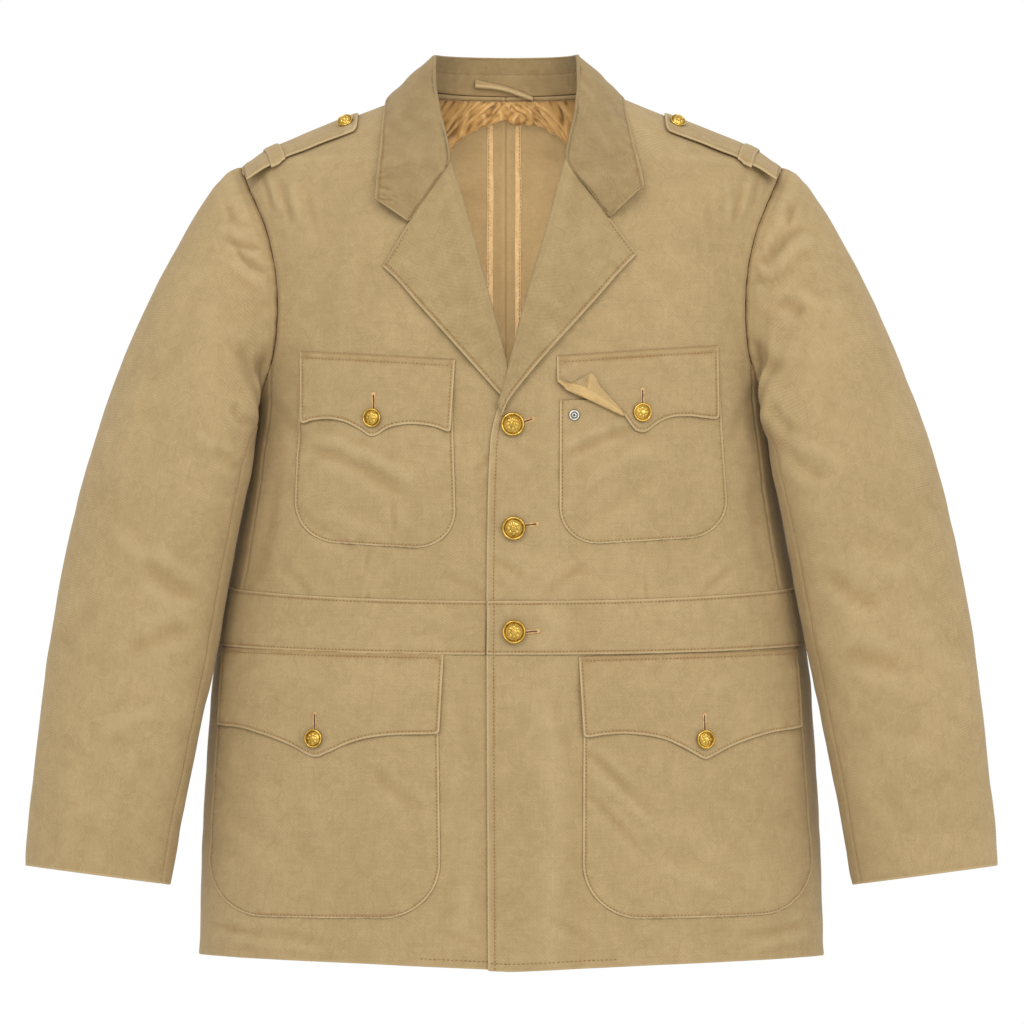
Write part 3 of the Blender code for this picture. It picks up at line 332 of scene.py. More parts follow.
def armhole(deg):
    a = np.radians(deg)
    reach = np.where(np.cos(a) > 0, -ARM_FRONT, ARM_BACK)
    return math.pi / 2 + reach * np.abs(np.cos(a)), ARM_MID_Z + ARM_HALF * np.sin(a)


def trim(t, z, gap):
    way = np.linalg.norm(body(t + 0.005, z) - body(t - 0.005, z), axis=-1) / 0.01
    return gap / np.maximum(way, 1.0)


def shares(length, pitch, start=True, end=True):
    """Shares of a length: close together at its ends, then every pitch."""
    close = np.array([0, 0.7, 1.5, 2.4, 3.2, 4.0, 4.9, 6.2, 8.0, 10.5])
    a = close if start else close[:1]
    b = length - close[::-1] if end else np.array([length])
    n = max(2, int(round((b[0] - a[-1]) / pitch)))
    return np.concatenate([a, np.linspace(a[-1], b[0], n + 1)[1:-1], b]) / length


def spread(a, b, share):
    a, b = np.asarray(a, float)[:, None], np.asarray(b, float)[:, None]
    return a + share[None, :] * (b - a)


def grid_out(P, inside):
    """Outward normals of a grid of points, away from the given inside points."""
    n = np.cross(np.gradient(P, axis=1), np.gradient(P, axis=0))
    long = np.linalg.norm(n, axis=-1, keepdims=True)
    n = n / np.maximum(long, 1e-9)
    sign = 1.0 if np.sum(n * (P - inside)) > 0 else -1.0
    return n * sign, sign


def reaches(P):
    """Way along the grid from each point to its four edges: first column, last column, first row, last row."""
    across = np.linalg.norm(np.diff(P, axis=1), axis=-1)
    down = np.linalg.norm(np.diff(P, axis=0), axis=-1)
    a = np.concatenate([np.zeros((P.shape[0], 1)), np.cumsum(across, 1)], 1)
    b = np.concatenate([np.zeros((1, P.shape[1])), np.cumsum(down, 0)], 0)
    return a, a[:, -1:] - a, b, b[-1:] - b


# ---- meshes ---------------------------------------------------------------------------------------------------------------
made = {}


def add_object(name, verts, quads, mat, uv=None, marks=None, flat_shaded=False):
    me = bpy.data.meshes.new(name)
    quads = np.asarray(quads, np.int32)
    me.vertices.add(len(verts))
    me.vertices.foreach_set("co", (np.asarray(verts, float) * MM).astype(np.float32).ravel())
    me.loops.add(quads.size)
    me.loops.foreach_set("vertex_index", quads.ravel())
    me.polygons.add(len(quads))
    me.polygons.foreach_set("loop_start", np.arange(0, quads.size, 4, dtype=np.int32))
    me.polygons.foreach_set("use_smooth", np.full(len(quads), not flat_shaded))
    me.update(calc_edges=True)
    if uv is not None:
        layer = me.uv_layers.new(name="cut")
        layer.data.foreach_set("uv", np.asarray(uv, np.float32)[quads.ravel()].ravel())
    for key, values in (marks or {}).items():
        at = me.attributes.new(key, "FLOAT", "POINT")
        at.data.foreach_set("value", np.asarray(values, np.float32))
    me.validate()
    me.materials.append(mat)
    ob = bpy.data.objects.new(name, me)
    scene.collection.objects.link(ob)
    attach(ob, "root")
    made[name] = ob
    return ob


def grid_quads(rows, cols, base=0, turn=False):
    i = np.arange(rows * cols).reshape(rows, cols) + base
    q = np.stack([i[:-1, :-1], i[:-1, 1:], i[1:, 1:], i[1:, :-1]], -1).reshape(-1, 4)
    return q[:, ::-1] if turn else q


def shell_arrays(P, inside, wall, base=0, rim_out=None):
    """Closed thin shell with a rounded rim round a grid of points."""
    rows, cols = P.shape[:2]
    n, sign = grid_out(P, inside)
    outer, inner = P + n * wall / 2, P - n * wall / 2
    count = rows * cols
    quads = [grid_quads(rows, cols, base, sign < 0), grid_quads(rows, cols, base + count, sign > 0)]
    i = np.arange(count).reshape(rows, cols)
    rim = np.concatenate([i[0, :-1], i[:-1, -1], i[-1, :0:-1], i[:0:-1, 0]])
    back = np.concatenate([i[1, :-1], i[:-1, -2], i[-2, :0:-1], i[:0:-1, 1]])
    flat_p = P.reshape(-1, 3)
    away = flat_p[rim] - flat_p[back]
    away /= np.maximum(np.linalg.norm(away, axis=-1, keepdims=True), 1e-9)
    mid = flat_p[rim] + away * (wall * 0.42 if rim_out is None else rim_out)
    m = np.arange(len(rim)) + base + 2 * count
    nxt = np.roll(np.arange(len(rim)), -1)
    o, k = rim + base, rim + base + count
    a = np.stack([o[nxt], o, m, m[nxt]], -1)
    b = np.stack([m[nxt], m, k, k[nxt]], -1)
    if sign < 0:
        a, b = a[:, ::-1], b[:, ::-1]
    verts = np.concatenate([outer.reshape(-1, 3), inner.reshape(-1, 3), mid])
    full = lambda v, last=None: np.concatenate([v.ravel(), v.ravel(), v.ravel()[rim] if last is None else np.full(len(rim), last)])
    return verts, np.concatenate(quads + [a, b]), full, outer, n


class Cloth:
    pass


def hollows(P, n):
    """How far each point of a grid lies below the mean of its surroundings, in mm."""
    Q = P
    for _ in range(4):
        Q = np.concatenate([Q[:1], (Q[:-2] + 2 * Q[1:-1] + Q[2:]) / 4, Q[-1:]], 0)
        Q = np.concatenate([Q[:, :1], (Q[:, :-2] + 2 * Q[:, 1:-1] + Q[:, 2:]) / 4, Q[:, -1:]], 1)
    deep = np.sum((Q - P) * n, -1)
    deep[:3], deep[-3:], deep[:, :3], deep[:, -3:] = 0, 0, 0, 0
    return deep


def flat_area(P):
    a, b = P[1:, 1:] - P[:-1, :-1], P[1:, :-1] - P[:-1, 1:]
    return float(np.linalg.norm(np.cross(a, b), axis=-1).sum() / 2)


def cloth(name, node, P, inside, mat, slot="khaki_cotton", wall=WALL, wear=None, tint=None, uv=None, held="hung",
          rests=(), declare=True, rim=None):
    """rim: how far the side of a sewn-on edge reaches out; that side is tinted dark, painted shade where it meets the
    cloth below.
    """
    verts, quads, full, outer, n = shell_arrays(P, inside, wall, 0, rim)
    a, b, c, d = reaches(P)
    if uv is None:
        uv = np.stack([a - a.mean(1, keepdims=True), c], -1)
    uvs = np.stack([full(uv[..., 0]), full(uv[..., 1])], -1)
    zero = np.zeros(P.shape[:2])
    if slot == "khaki_cotton":                               # painted highlight on the ridges, painted shade in the troughs
        deep = hollows(P, n)
        wear = (zero if wear is None else wear) + 0.26 * np.clip((-deep - 0.03) / 0.55, 0, 1)
        tint = np.maximum(zero if tint is None else tint, 0.40 * np.clip((deep - 0.03) / 0.50, 0, 1))
    # with a rim, the rim's side gets no pale and full dark tint: painted shade along its join to the cloth below
    marks = {"wear": full(zero if wear is None else wear, None if rim is None else 0.0),
             "tint": full(zero if tint is None else tint, None if rim is None else 1.0)}
    ob = add_object(name, verts, quads, mat, uvs, marks)
    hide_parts(node)
    piece = Cloth()
    piece.ob, piece.P, piece.outer, piece.n, piece.reach = ob, P, outer, n, (a, b, c, d)
    piece.flat = (float(a[:, -1].max()) * MM, float(c[-1].max()) * MM)
    piece.area = min(flat_area(P) * 1e-6, 0.999 * piece.flat[0] * piece.flat[1])
    piece.held, piece.rests, piece.extra, piece.declare = held, list(rests), [], declare
    pieces[name] = piece
    return piece


pieces = {}


def inset_line(piece, edge, d, lo=0.0, hi=1.0):
    """Points and normals along a line that keeps d from one edge of a piece: 0 first column, 1 last, 2 first row, 3 last."""
    r = piece.reach[edge]
    S, n = piece.outer, piece.n
    if edge in (2, 3):
        r, S, n = r.T, S.transpose(1, 0, 2), n.transpose(1, 0, 2)
    if edge in (1, 3):
        r, S, n = r[:, ::-1], S[:, ::-1], n[:, ::-1]
    pts, ns = [], []
    k0, k1 = int(lo * (len(S) - 1)), int(math.ceil(hi * (len(S) - 1)))
    for k in range(k0, k1 + 1):
        pts.append([np.interp(d, r[k], S[k, :, j]) for j in range(3)])
        ns.append([np.interp(d, r[k], n[k, :, j]) for j in range(3)])
    return np.array(pts), np.array(ns)


thread_lines = {}


def sew(piece, line, pitch=3.1):
    thread_lines.setdefault(piece.ob.name, []).append((line[0], line[1], pitch))


def pucker(d, s, amp, reach, pitch, seed):
    """Small uneven gathers beside a seam at distance d, along it by s."""
    return amp * (noise(s / pitch, d / 40, seed) + 0.5 * noise(s / pitch * 2.3, d / 30, seed + 7)) * np.exp(-(d / reach) ** 2)


def sewn_edge(d, s, seed, line=4.0, roll=0.35, dip=0.45, gather=0.28):
    """Height of a turned and top-stitched edge: thicker roll at the edge, the dip of the stitching, gathers beside it."""
    return (0.35 * roll * step(1 - (d - line * 0.5) / line) - 0.55 * dip * np.exp(-((d - line) / 0.9) ** 2)
            + pucker(np.abs(d - line), s, gather, 6.5, 6.5, seed))


def edge_marks(d, s, seed, line=4.0):
    """Pale edge, partly wear and partly painted highlight, and the brown of the stitching line."""
    wear = np.exp(-(d / 0.8) ** 2) * (0.8 + 0.2 * noise(s / 12, 0 * s, seed))
    tint = np.exp(-((d - line) / 1.1) ** 2) * np.clip(0.55 + 0.45 * noise(s / 16, 0 * s, seed + 1), 0.1, 1)
    return wear, tint


# ---- materials ------------------------------------------------------------------------------------------------------------
class Nodes:
    """Short way to lay out shader nodes."""

    def __init__(self, name):
        self.mat = bpy.data.materials.new(name)
        self.mat.use_nodes = True
        self.tree = self.mat.node_tree
        self.shader = self.tree.nodes["Principled BSDF"]

    def new(self, kind, **fields):
        n = self.tree.nodes.new(kind)
        for key, value in fields.items():
            setattr(n, key, value)
        return n

    def link(self, a, b):
        self.tree.links.new(a, b)

    def place(self):
        return self.new("ShaderNodeTexCoord").outputs["Object"]

    def noise(self, scale, detail=2.0, rough=0.55, where=None):
        n = self.new("ShaderNodeTexNoise")
        n.inputs["Scale"].default_value = scale
        n.inputs["Detail"].default_value = detail
        n.inputs["Roughness"].default_value = rough
        self.link(where or self.place(), n.inputs["Vector"])
        return n.outputs["Fac"]

    def mark(self, name):
        return self.new("ShaderNodeAttribute", attribute_name=name, attribute_type="GEOMETRY").outputs["Fac"]

    def ramp(self, fac, *stops):
        n = self.new("ShaderNodeValToRGB")
        while len(n.color_ramp.elements) < len(stops):
            n.color_ramp.elements.new(0.5)
        for e, (at, colour) in zip(n.color_ramp.elements, stops):
            e.position, e.color = at, (*colour, 1)
        self.link(fac, n.inputs["Fac"])
        return n.outputs["Color"]

    def scaled(self, value, lo, hi, to_lo, to_hi):
        n = self.new("ShaderNodeMapRange")
        for key, v in zip(("From Min", "From Max", "To Min", "To Max"), (lo, hi, to_lo, to_hi)):
            n.inputs[key].default_value = v
        self.link(value, n.inputs["Value"])
        return n.outputs["Result"]

    def maths(self, kind, a, b):
        n = self.new("ShaderNodeMath", operation=kind)
        for i, v in enumerate((a, b)):
            if isinstance(v, (int, float)):
                n.inputs[i].default_value = v
            else:
                self.link(v, n.inputs[i])
        return n.outputs["Value"]

    def mix(self, fac, a, b, kind="MIX"):
        n = self.new("ShaderNodeMix", data_type="RGBA", blend_type=kind)
        for i, v in ((0, fac), (6, a), (7, b)):
            if isinstance(v, tuple):
                n.inputs[i].default_value = (*v, 1)
            elif isinstance(v, (int, float)):
                n.inputs[i].default_value = v
            else:
                self.link(v, n.inputs[i])
        return n.outputs[2]

    def bump(self, height, strength, distance):
        n = self.new("ShaderNodeBump")
        n.inputs["Strength"].default_value = strength
        n.inputs["Distance"].default_value = distance
        self.link(height, n.inputs["Height"])
        self.link(n.outputs["Normal"], self.shader.inputs["Normal"])


def set_plain(shader, **values):
    for key, v in values.items():
        shader.inputs[key.replace("_", " ")].default_value = v


KHAKI_DARK, KHAKI_MID, KHAKI_PALE = (0.306, 0.215, 0.099), (0.350, 0.248, 0.119), (0.396, 0.285, 0.142)


def cotton(name, dark=KHAKI_DARK, mid=KHAKI_MID, pale=KHAKI_PALE, edge=(0.52, 0.40, 0.22), brown=(0.235, 0.130, 0.045), crumple=1.0):
    m = Nodes(name)
    # slow clouding, small mottling and the speckle of the yarn
    cloud = m.noise(11.0, 3.0, 0.6)
    mottle = m.noise(75.0, 4.0, 0.65)
    speck = m.noise(700.0, 2.0, 0.7)
    uv = m.new("ShaderNodeUVMap", uv_map="cut").outputs["UV"]
    slubs = []                                                 # thicker yarns, along and across the cloth
    for scale in ((0.75, 0.035, 1.0), (0.030, 0.75, 1.0)):
        stretch = m.new("ShaderNodeMapping")
        stretch.inputs["Scale"].default_value = scale
        m.link(uv, stretch.inputs["Vector"])
        slubs.append(m.noise(1.0, 1.0, 0.5, stretch.outputs["Vector"]))
    slub = m.maths("ADD", m.maths("MULTIPLY", slubs[0], 0.5), m.maths("MULTIPLY", slubs[1], 0.5))
    tone = m.maths("ADD", m.maths("MULTIPLY", cloud, 0.28), m.maths("MULTIPLY", mottle, 0.34))
    tone = m.maths("ADD", tone, m.maths("MULTIPLY", speck, 0.12))
    tone = m.maths("ADD", tone, m.maths("MULTIPLY", slub, 0.26))
    colour = m.ramp(tone, (0.38, dark), (0.5, mid), (0.62, pale))
    for scale, colour_of, much in ((46.0, pale, 0.30), (39.0, dark, 0.34), (95.0, pale, 0.16)):    # fine crumple lines: painted highlight and painted shade of small creases
        fine_fold = m.maths("ABSOLUTE", m.maths("SUBTRACT", m.noise(scale, 2.0, 0.5), 0.5), 0.0)
        factor = 1.10 if colour_of is pale else 0.86
        colour = m.mix(m.scaled(fine_fold, 0.0, 0.020, much * min(crumple, 1.0), 0.0), colour, tuple(factor * v for v in colour_of))
    # twill: fine slanting lines of the weave on the flat cut, crossed by the weft
    weave = []
    for slant, pitch in ((58.0, 0.165), (-32.0, 0.150)):
        turn = m.new("ShaderNodeMapping")
        turn.inputs["Rotation"].default_value = (0, 0, math.radians(slant))
        m.link(uv, turn.inputs["Vector"])
        band = m.new("ShaderNodeTexWave", wave_type="BANDS", bands_direction="X")
        band.inputs["Scale"].default_value = pitch
        band.inputs["Distortion"].default_value = 0.35
        band.inputs["Detail Scale"].default_value = 1.5
        m.link(turn.outputs["Vector"], band.inputs["Vector"])
        weave.append(band.outputs["Fac"])
    twill = m.maths("MULTIPLY", weave[0], m.scaled(weave[1], 0, 1, 0.35, 1.0))
    colour = m.mix(m.scaled(twill, 0, 1, 0.0, 0.42), colour, tuple(0.82 * v for v in dark))
    # tint mark: brown of stitching and seams, plus painted shade in troughs, crevices and along sewn-on rims; pale
    # mark: edges that are partly worn and partly painted highlight, and painted highlight on ridges
    colour = m.mix(m.scaled(m.mark("tint"), 0, 1, 0.0, 0.62), colour, brown)
    colour = m.mix(m.scaled(m.mark("wear"), 0, 1, 0.0, 0.75), colour, edge)
    m.link(colour, m.shader.inputs["Base Color"])
    m.link(m.scaled(mottle, 0.3, 0.7, 0.80, 0.93), m.shader.inputs["Roughness"])
    set_plain(m.shader, Sheen_Weight=0.12, Sheen_Roughness=0.5, Specular_IOR_Level=0.22)
    m.shader.inputs["Sheen Tint"].default_value = (1.0, 0.90, 0.72, 1)
    height = m.maths("ADD", m.maths("MULTIPLY", twill, -0.45), m.maths("MULTIPLY", m.noise(420.0, 3.0), 0.25))
    height = m.maths("ADD", height, m.maths("MULTIPLY", m.noise(55.0, 2.0), 2.4 * crumple))
    if crumple > 1:
        height = m.maths("ADD", height, m.maths("MULTIPLY", m.noise(130.0, 2.0), 0.9 * crumple))
    m.bump(height, 0.40, 0.0007)
    return m.mat


def satin():
    m = Nodes("satin")
    cloud = m.noise(40.0, 3.0)
    thread = m.new("ShaderNodeTexWave", wave_type="BANDS", bands_direction="X")
    thread.inputs["Scale"].default_value = 0.8
    m.link(m.new("ShaderNodeUVMap", uv_map="cut").outputs["UV"], thread.inputs["Vector"])
    colour = m.ramp(cloud, (0.3, (0.385, 0.214, 0.064)), (0.7, (0.52, 0.310, 0.104)))
    colour = m.mix(m.scaled(thread.outputs["Fac"], 0, 1, 0, 0.08), colour, (0.25, 0.14, 0.05))
    colour = m.mix(m.scaled(m.mark("tint"), 0, 1, 0.0, 0.82), colour, (0.13, 0.064, 0.02))
    colour = m.mix(m.scaled(m.mark("wear"), 0, 1, 0.0, 0.6), colour, (0.58, 0.385, 0.165))
    m.link(colour, m.shader.inputs["Base Color"])
    m.link(m.scaled(cloud, 0.3, 0.7, 0.36, 0.5), m.shader.inputs["Roughness"])
    set_plain(m.shader, Sheen_Weight=0.25, Sheen_Roughness=0.35, Specular_IOR_Level=0.4)
    m.bump(m.maths("ADD", m.noise(160.0, 3.0), thread.outputs["Fac"]), 0.25, 0.0004)
    return m.mat


def tape():
    m = Nodes("binding_tape")
    colour = m.ramp(m.noise(260.0, 3.0), (0.3, (0.45, 0.295, 0.130)), (0.7, (0.60, 0.425, 0.215)))
    colour = m.mix(m.scaled(m.mark("tint"), 0, 1, 0.0, 0.7), colour, (0.27, 0.15, 0.05))
    colour = m.mix(m.scaled(m.mark("wear"), 0, 1, 0.0, 0.5), colour, (0.72, 0.55, 0.31))
    m.link(colour, m.shader.inputs["Base Color"])
    m.link(m.scaled(m.noise(120.0), 0.3, 0.7, 0.5, 0.7), m.shader.inputs["Roughness"])
    set_plain(m.shader, Sheen_Weight=0.15, Specular_IOR_Level=0.35)
    m.bump(m.noise(500.0, 2.0), 0.3, 0.0004)
    return m.mat


def yarn(name, dark, pale):
    m = Nodes(name)
    colour = m.ramp(m.noise(330.0, 2.0), (0.35, dark), (0.65, pale))
    m.link(colour, m.shader.inputs["Base Color"])
    m.link(m.scaled(m.noise(600.0), 0.3, 0.7, 0.55, 0.75), m.shader.inputs["Roughness"])
    set_plain(m.shader, Sheen_Weight=0.2, Specular_IOR_Level=0.3)
    m.bump(m.noise(2500.0, 2.0), 0.4, 0.0002)
    return m.mat


def metal(name, dark, bright, rough_lo, rough_hi):
    m = Nodes(name)
    tarnish = m.noise(260.0, 4.0, 0.6)
    colour = m.ramp(tarnish, (0.30, dark), (0.62, bright))
    # tint: tarnish in the buttons' recesses, and painted shade at the buttons' foot and on the eyelet's groove, edge
    # and lip
    colour = m.mix(m.scaled(m.mark("tint"), 0, 1, 0.0, 0.85), colour, tuple(v * 0.28 for v in dark))
    m.link(colour, m.shader.inputs["Base Color"])
    m.link(m.scaled(m.noise(900.0, 3.0), 0.3, 0.7, rough_lo, rough_hi), m.shader.inputs["Roughness"])
    set_plain(m.shader, Metallic=1.0)
    m.bump(m.noise(1500.0, 3.0), 0.12, 0.0002)
    return m.mat


KHAKI = cotton("khaki_cotton")
# darker copies of the khaki for the collar and the lapels: painted shade
COLLAR_KHAKI_SHADED = cotton("khaki_cotton_collar", (0.228, 0.156, 0.068), (0.268, 0.186, 0.084), (0.310, 0.219, 0.103), (0.45, 0.34, 0.185), crumple=2.1)
LAPEL_KHAKI_SHADED = cotton("khaki_cotton_lapel", (0.274, 0.193, 0.088), (0.317, 0.226, 0.107), (0.362, 0.262, 0.129), (0.48, 0.37, 0.20), crumple=2.1)
FLAP_BACK = cotton("khaki_underside", edge=(0.560, 0.370, 0.150))
SATIN_MAT = satin()
TAPE = tape()
THREAD = yarn("stitch_thread", (0.185, 0.098, 0.032), (0.300, 0.175, 0.070))
HOLE_THREAD = yarn("buttonhole_thread", (0.44, 0.245, 0.090), (0.62, 0.400, 0.180))
# near-black material standing in for the shade inside openings: painted shade
SLIT_SHADE = yarn("buttonhole_slit", (0.028, 0.016, 0.008), (0.06, 0.034, 0.016))
BRASS = metal("button_brass", (0.40, 0.235, 0.036), (0.72, 0.475, 0.110), 0.20, 0.32)
NICKEL = metal("eyelet_nickel", (0.34, 0.32, 0.28), (0.74, 0.71, 0.64), 0.26, 0.40)

# ---- body panels ----------------------------------------------------------------------------------------------------------
axis = lambda P: np.stack([0 * P[..., 2], 5 + 0 * P[..., 2], P[..., 2]], -1)


def mirrored(P, side):
    P = P.copy()
    P[..., 0] *= side
    return P


LOW_ROWS = np.array([-448.8, -405.0, -355.0, -305.0, -265.0])


def front_outer(z):
    """Turn of the front's outer line: side seam, armhole, then the shoulder ridge."""
    t0, z0 = armhole(np.array([-36.0]))
    low = np.interp(z, np.append(LOW_ROWS, z0), np.linspace(math.radians(66.4), t0[0], 6))
    a = np.arcsin(np.clip((z - ARM_MID_Z) / ARM_HALF, -1, 1))
    return np.where(z < z0[0], low, math.pi / 2 - ARM_FRONT * np.cos(a))


def back_outer(z):
    t0, z0 = armhole(np.array([216.0]))
    low = np.interp(z, np.append(LOW_ROWS, z0), np.linspace(math.radians(118.0), t0[0], 6))
    a = np.arcsin(np.clip((z - ARM_MID_Z) / ARM_HALF, -1, 1))
    return np.where(z < z0[0], low, math.pi / 2 + ARM_BACK * np.cos(a))


def arm_rows(first_deg):
    a = np.radians(np.arange(first_deg, 90.1, 1.5))
    return ARM_MID_Z + ARM_HALF * np.sin(a)


def upper_rows(top):
    arm = arm_rows(-36.0)
    low = np.linspace(-448.8, arm[0], 76)[:-1]
    return np.concatenate([low, arm[arm < ARM_MID_Z + ARM_HALF - 0.9], np.linspace(ARM_MID_Z + ARM_HALF - 0.4, top, 20)])


DARTS = {-1: -120.0, 1: 112.0}     # x of the waist dart of each front, from pocket to belt


def front_panel(name, side, edge, out):
    z = upper_rows(NECK_Z - 1.0)
    inner_x = edge(z) + np.where(z > -270, 1.6, 0.0)
    outer = front_outer(z)
    outer = outer - trim(outer, z, SEAM * 0.4)
    t = spread(turn_at(inner_x, z), outer, shares(235.0, 3.2))
    zz = np.repeat(z[:, None], t.shape[1], 1)
    x = body(t, zz)[..., 0]
    base = body(t, zz)
    a, b, c, d = reaches(base)
    s = np.repeat(z[:, None], t.shape[1], 1)
    high = out(x)
    low_part = step((-262 - zz) / 12)                       # below the lapel the edge is top-stitched
    high = high + sewn_edge(a, s, 11 + side, line=5.4) * low_part
    dart = np.exp(-((x - abs(DARTS[side])) / 1.0) ** 2) * step((-384 - zz) / 14) * step((zz + 450) / 6)
    high = high - 0.75 * dart + 0.3 * np.exp(-((np.abs(x - abs(DARTS[side])) - 2.6) / 1.6) ** 2) * step((-384 - zz) / 14)
    in_arm = step((zz + 262) / 20)
    high = high - 0.5 * np.exp(-(b / 2.2) ** 2) + 0.45 * np.exp(-((b - 5.0) / 3.0) ** 2) * in_arm + pucker(b, s, 0.22, 9, 9, 21 + side)
    seam_low = step((-240 - zz) / 20)
    high = high + seam_low * (0.35 * np.exp(-((b - 3.2) / 1.6) ** 2))
    n = body_out(t, zz)
    P = base + n * (high + swell(t * side, zz))[..., None]
    wear, tint = edge_marks(a, s, 31 + side, 5.4)
    wear, tint = wear * low_part, tint * low_part * 0.8
    # pale ridge beside the outer seam: wear and painted highlight
    wear = wear + 0.30 * np.exp(-((b - 1.6) / 1.2) ** 2)
    tint = np.maximum(tint, (0.35 + 0.4 * in_arm) * np.exp(-(b / 0.8) ** 2))
    tint = np.maximum(tint, 0.45 * dart)
    P = mirrored(P, side)
    return cloth(name, name[6:], P, axis(P), KHAKI, wear=wear, tint=tint)


def back_panel(name, side):
    z = upper_rows(NECK_Z)
    outer = back_outer(z)
    mid = math.pi - turn_at(np.full(z.shape, side * BACK_SEAM_X), z)
    outer, mid = outer + trim(outer, z, SEAM * 0.4), mid - trim(mid, z, SEAM * 0.4)
    t = spread(outer, mid, shares(235.0, 6.4))
    zz = np.repeat(z[:, None], t.shape[1], 1)
    base = body(t, zz)
    a, b, c, d = reaches(base)
    high = -0.5 * np.exp(-(a / 2.2) ** 2) + 0.4 * np.exp(-((a - 5) / 3) ** 2) + pucker(a, zz, 0.25, 9, 10, 41 + side)
    high = high - 0.6 * np.exp(-(b / 1.6) ** 2) + 0.3 * np.exp(-((b - 4) / 2) ** 2) + pucker(b, zz, 0.25, 8, 11, 43 + side)
    P = base + body_out(t, zz) * (high + swell(t * side, zz))[..., None]
    # pale ridges beside the seams: wear and painted highlight
    wear = 0.3 * np.exp(-((a - 1.6) / 1.2) ** 2) + 0.25 * np.exp(-((b - 1.6) / 1.2) ** 2)
    tint = 0.75 * np.exp(-(np.minimum(a, b) / 0.8) ** 2)
    P = mirrored(P, side)
    return cloth(name, name[6:], P, axis(P), KHAKI, wear=wear, tint=tint)


def side_panel(name, side):
    deg = np.linspace(-36.0, -144.0, 34)
    arm_t, arm_z = armhole(deg)
    t0, z0 = armhole(np.array([-36.0]))
    rise = np.append(LOW_ROWS, z0[0])
    fine = np.linspace(0, 1, 52)
    share = np.interp(fine, np.linspace(0, 1, 6), (rise - rise[0]) / (rise[-1] - rise[0]))[:, None]
    z = rise[0] + share * (arm_z + 0.8 - rise[0])[None, :]
    low_t = np.linspace(math.radians(66.4), math.radians(118.0), len(deg))
    t = low_t[None, :] + fine[:, None] * (arm_t - low_t)[None, :]
    t[:, 0] += trim(t[:, 0], z[:, 0], SEAM * 0.4)
    t[:, -1] -= trim(t[:, -1], z[:, -1], SEAM * 0.4)
    base = body(t, z)
    a, b, c, d = reaches(base)
    near = np.minimum(a, b)
    high = -0.5 * np.exp(-(near / 2.0) ** 2) + 0.35 * np.exp(-((near - 4) / 2) ** 2) + pucker(near, z, 0.2, 8, 10, 51 + side)
    P = base + body_out(t, z) * (high + swell(t * side, z))[..., None]
    P = mirrored(P, side)
    # pale ridges beside the seams: wear and painted highlight
    return cloth(name, name[6:], P, axis(P), KHAKI, wear=0.3 * np.exp(-((near - 1.6) / 1.2) ** 2),
                 tint=0.35 * np.exp(-(near / 0.8) ** 2))


HEM_LIFT = smooth([0.0, 67.0, 134.0, 200.0, 240.0, 255.0, 264.0, 268.0], [0.0, 2.6, 4.8, 5.6, 5.0, 4.0, 2.6, 0.8])


def skirt_panel(name, t_from, t_to, out, wide, hem=HEM_Z, edge_seed=None):
    z = WAIST_Z - SEAM / 2 + shares(285.0, 3.9, start=False) * (hem - WAIST_Z + SEAM / 2)
    t = spread(t_from(z), t_to(z), shares(wide, 5.4 if name.endswith("back") else 3.9))
    zz = np.repeat(z[:, None], t.shape[1], 1)
    lift = np.where(np.cos(t) > 0, HEM_LIFT(np.abs(body(t, zz)[..., 0])), 0.8 * np.sin(t) ** 2) * step((-640 - zz) / 94)
    zz = zz + lift
    base = body(t, zz)
    a, b, c, d = reaches(base)
    high = out(base[..., 0])
    high = high + sewn_edge(d, a, 61, line=6.0, roll=0.3, dip=0.10, gather=0.32)      # hem
    if edge_seed:
        high = high + sewn_edge(a, zz, edge_seed, line=5.4)
        near = b
    else:
        near = np.minimum(a, b)
    high = high - 0.5 * np.exp(-(near / 2.0) ** 2) + 0.3 * np.exp(-((near - 4) / 2) ** 2) + pucker(near, zz, 0.25, 9, 12, 71)
    P = base + body_out(t, zz) * (high + swell(t, zz))[..., None]
    wear, tint = edge_marks(d, a, 63, 6.0)
    tint, wear = tint * 0.2, wear * 0.6
    if edge_seed:
        w2, t2 = edge_marks(a, zz, edge_seed + 3, 5.4)
        wear, tint = np.maximum(wear, w2), np.maximum(tint, t2 * 0.8)
    # pale edges and seam ridges: wear and painted highlight
    wear = np.maximum(wear, 0.3 * np.exp(-((near - 1.6) / 1.2) ** 2))
    tint = np.maximum(tint, 0.7 * np.exp(-(near / 0.8) ** 2))
    return cloth(name, name[6:], P, axis(P), KHAKI, wear=wear, tint=tint)


p = front_panel("cloth_front_right", -1, edge_right, flat)
p = front_panel("cloth_front_left", 1, edge_left, raise_left)
sew(p, inset_line(p, 0, 5.4, 0.0, 0.36))
for word, sign in (("right", -1), ("left", 1)):
    back_panel("cloth_back_" + word, sign)
    side_panel("cloth_side_" + word, sign)
seam_t = lambda z: SIDE_SEAM - trim(np.full(z.shape, SIDE_SEAM), z, SEAM * 0.4)
p = skirt_panel("cloth_skirt_front_left", lambda z: turn_at(edge_left(z), z), seam_t, raise_left, 330.0, HEM_Z - 1.0, 81)
sew(p, inset_line(p, 0, 5.4))
sew(p, inset_line(p, 3, 6.0, 0.02, 0.22), 3.6)
p = skirt_panel("cloth_skirt_front_right", lambda z: -turn_at(edge_right(z), z), lambda z: -seam_t(z), flat, 330.0, HEM_Z, 87)
sew(p, inset_line(p, 3, 6.0, 0.02, 0.20), 3.6)
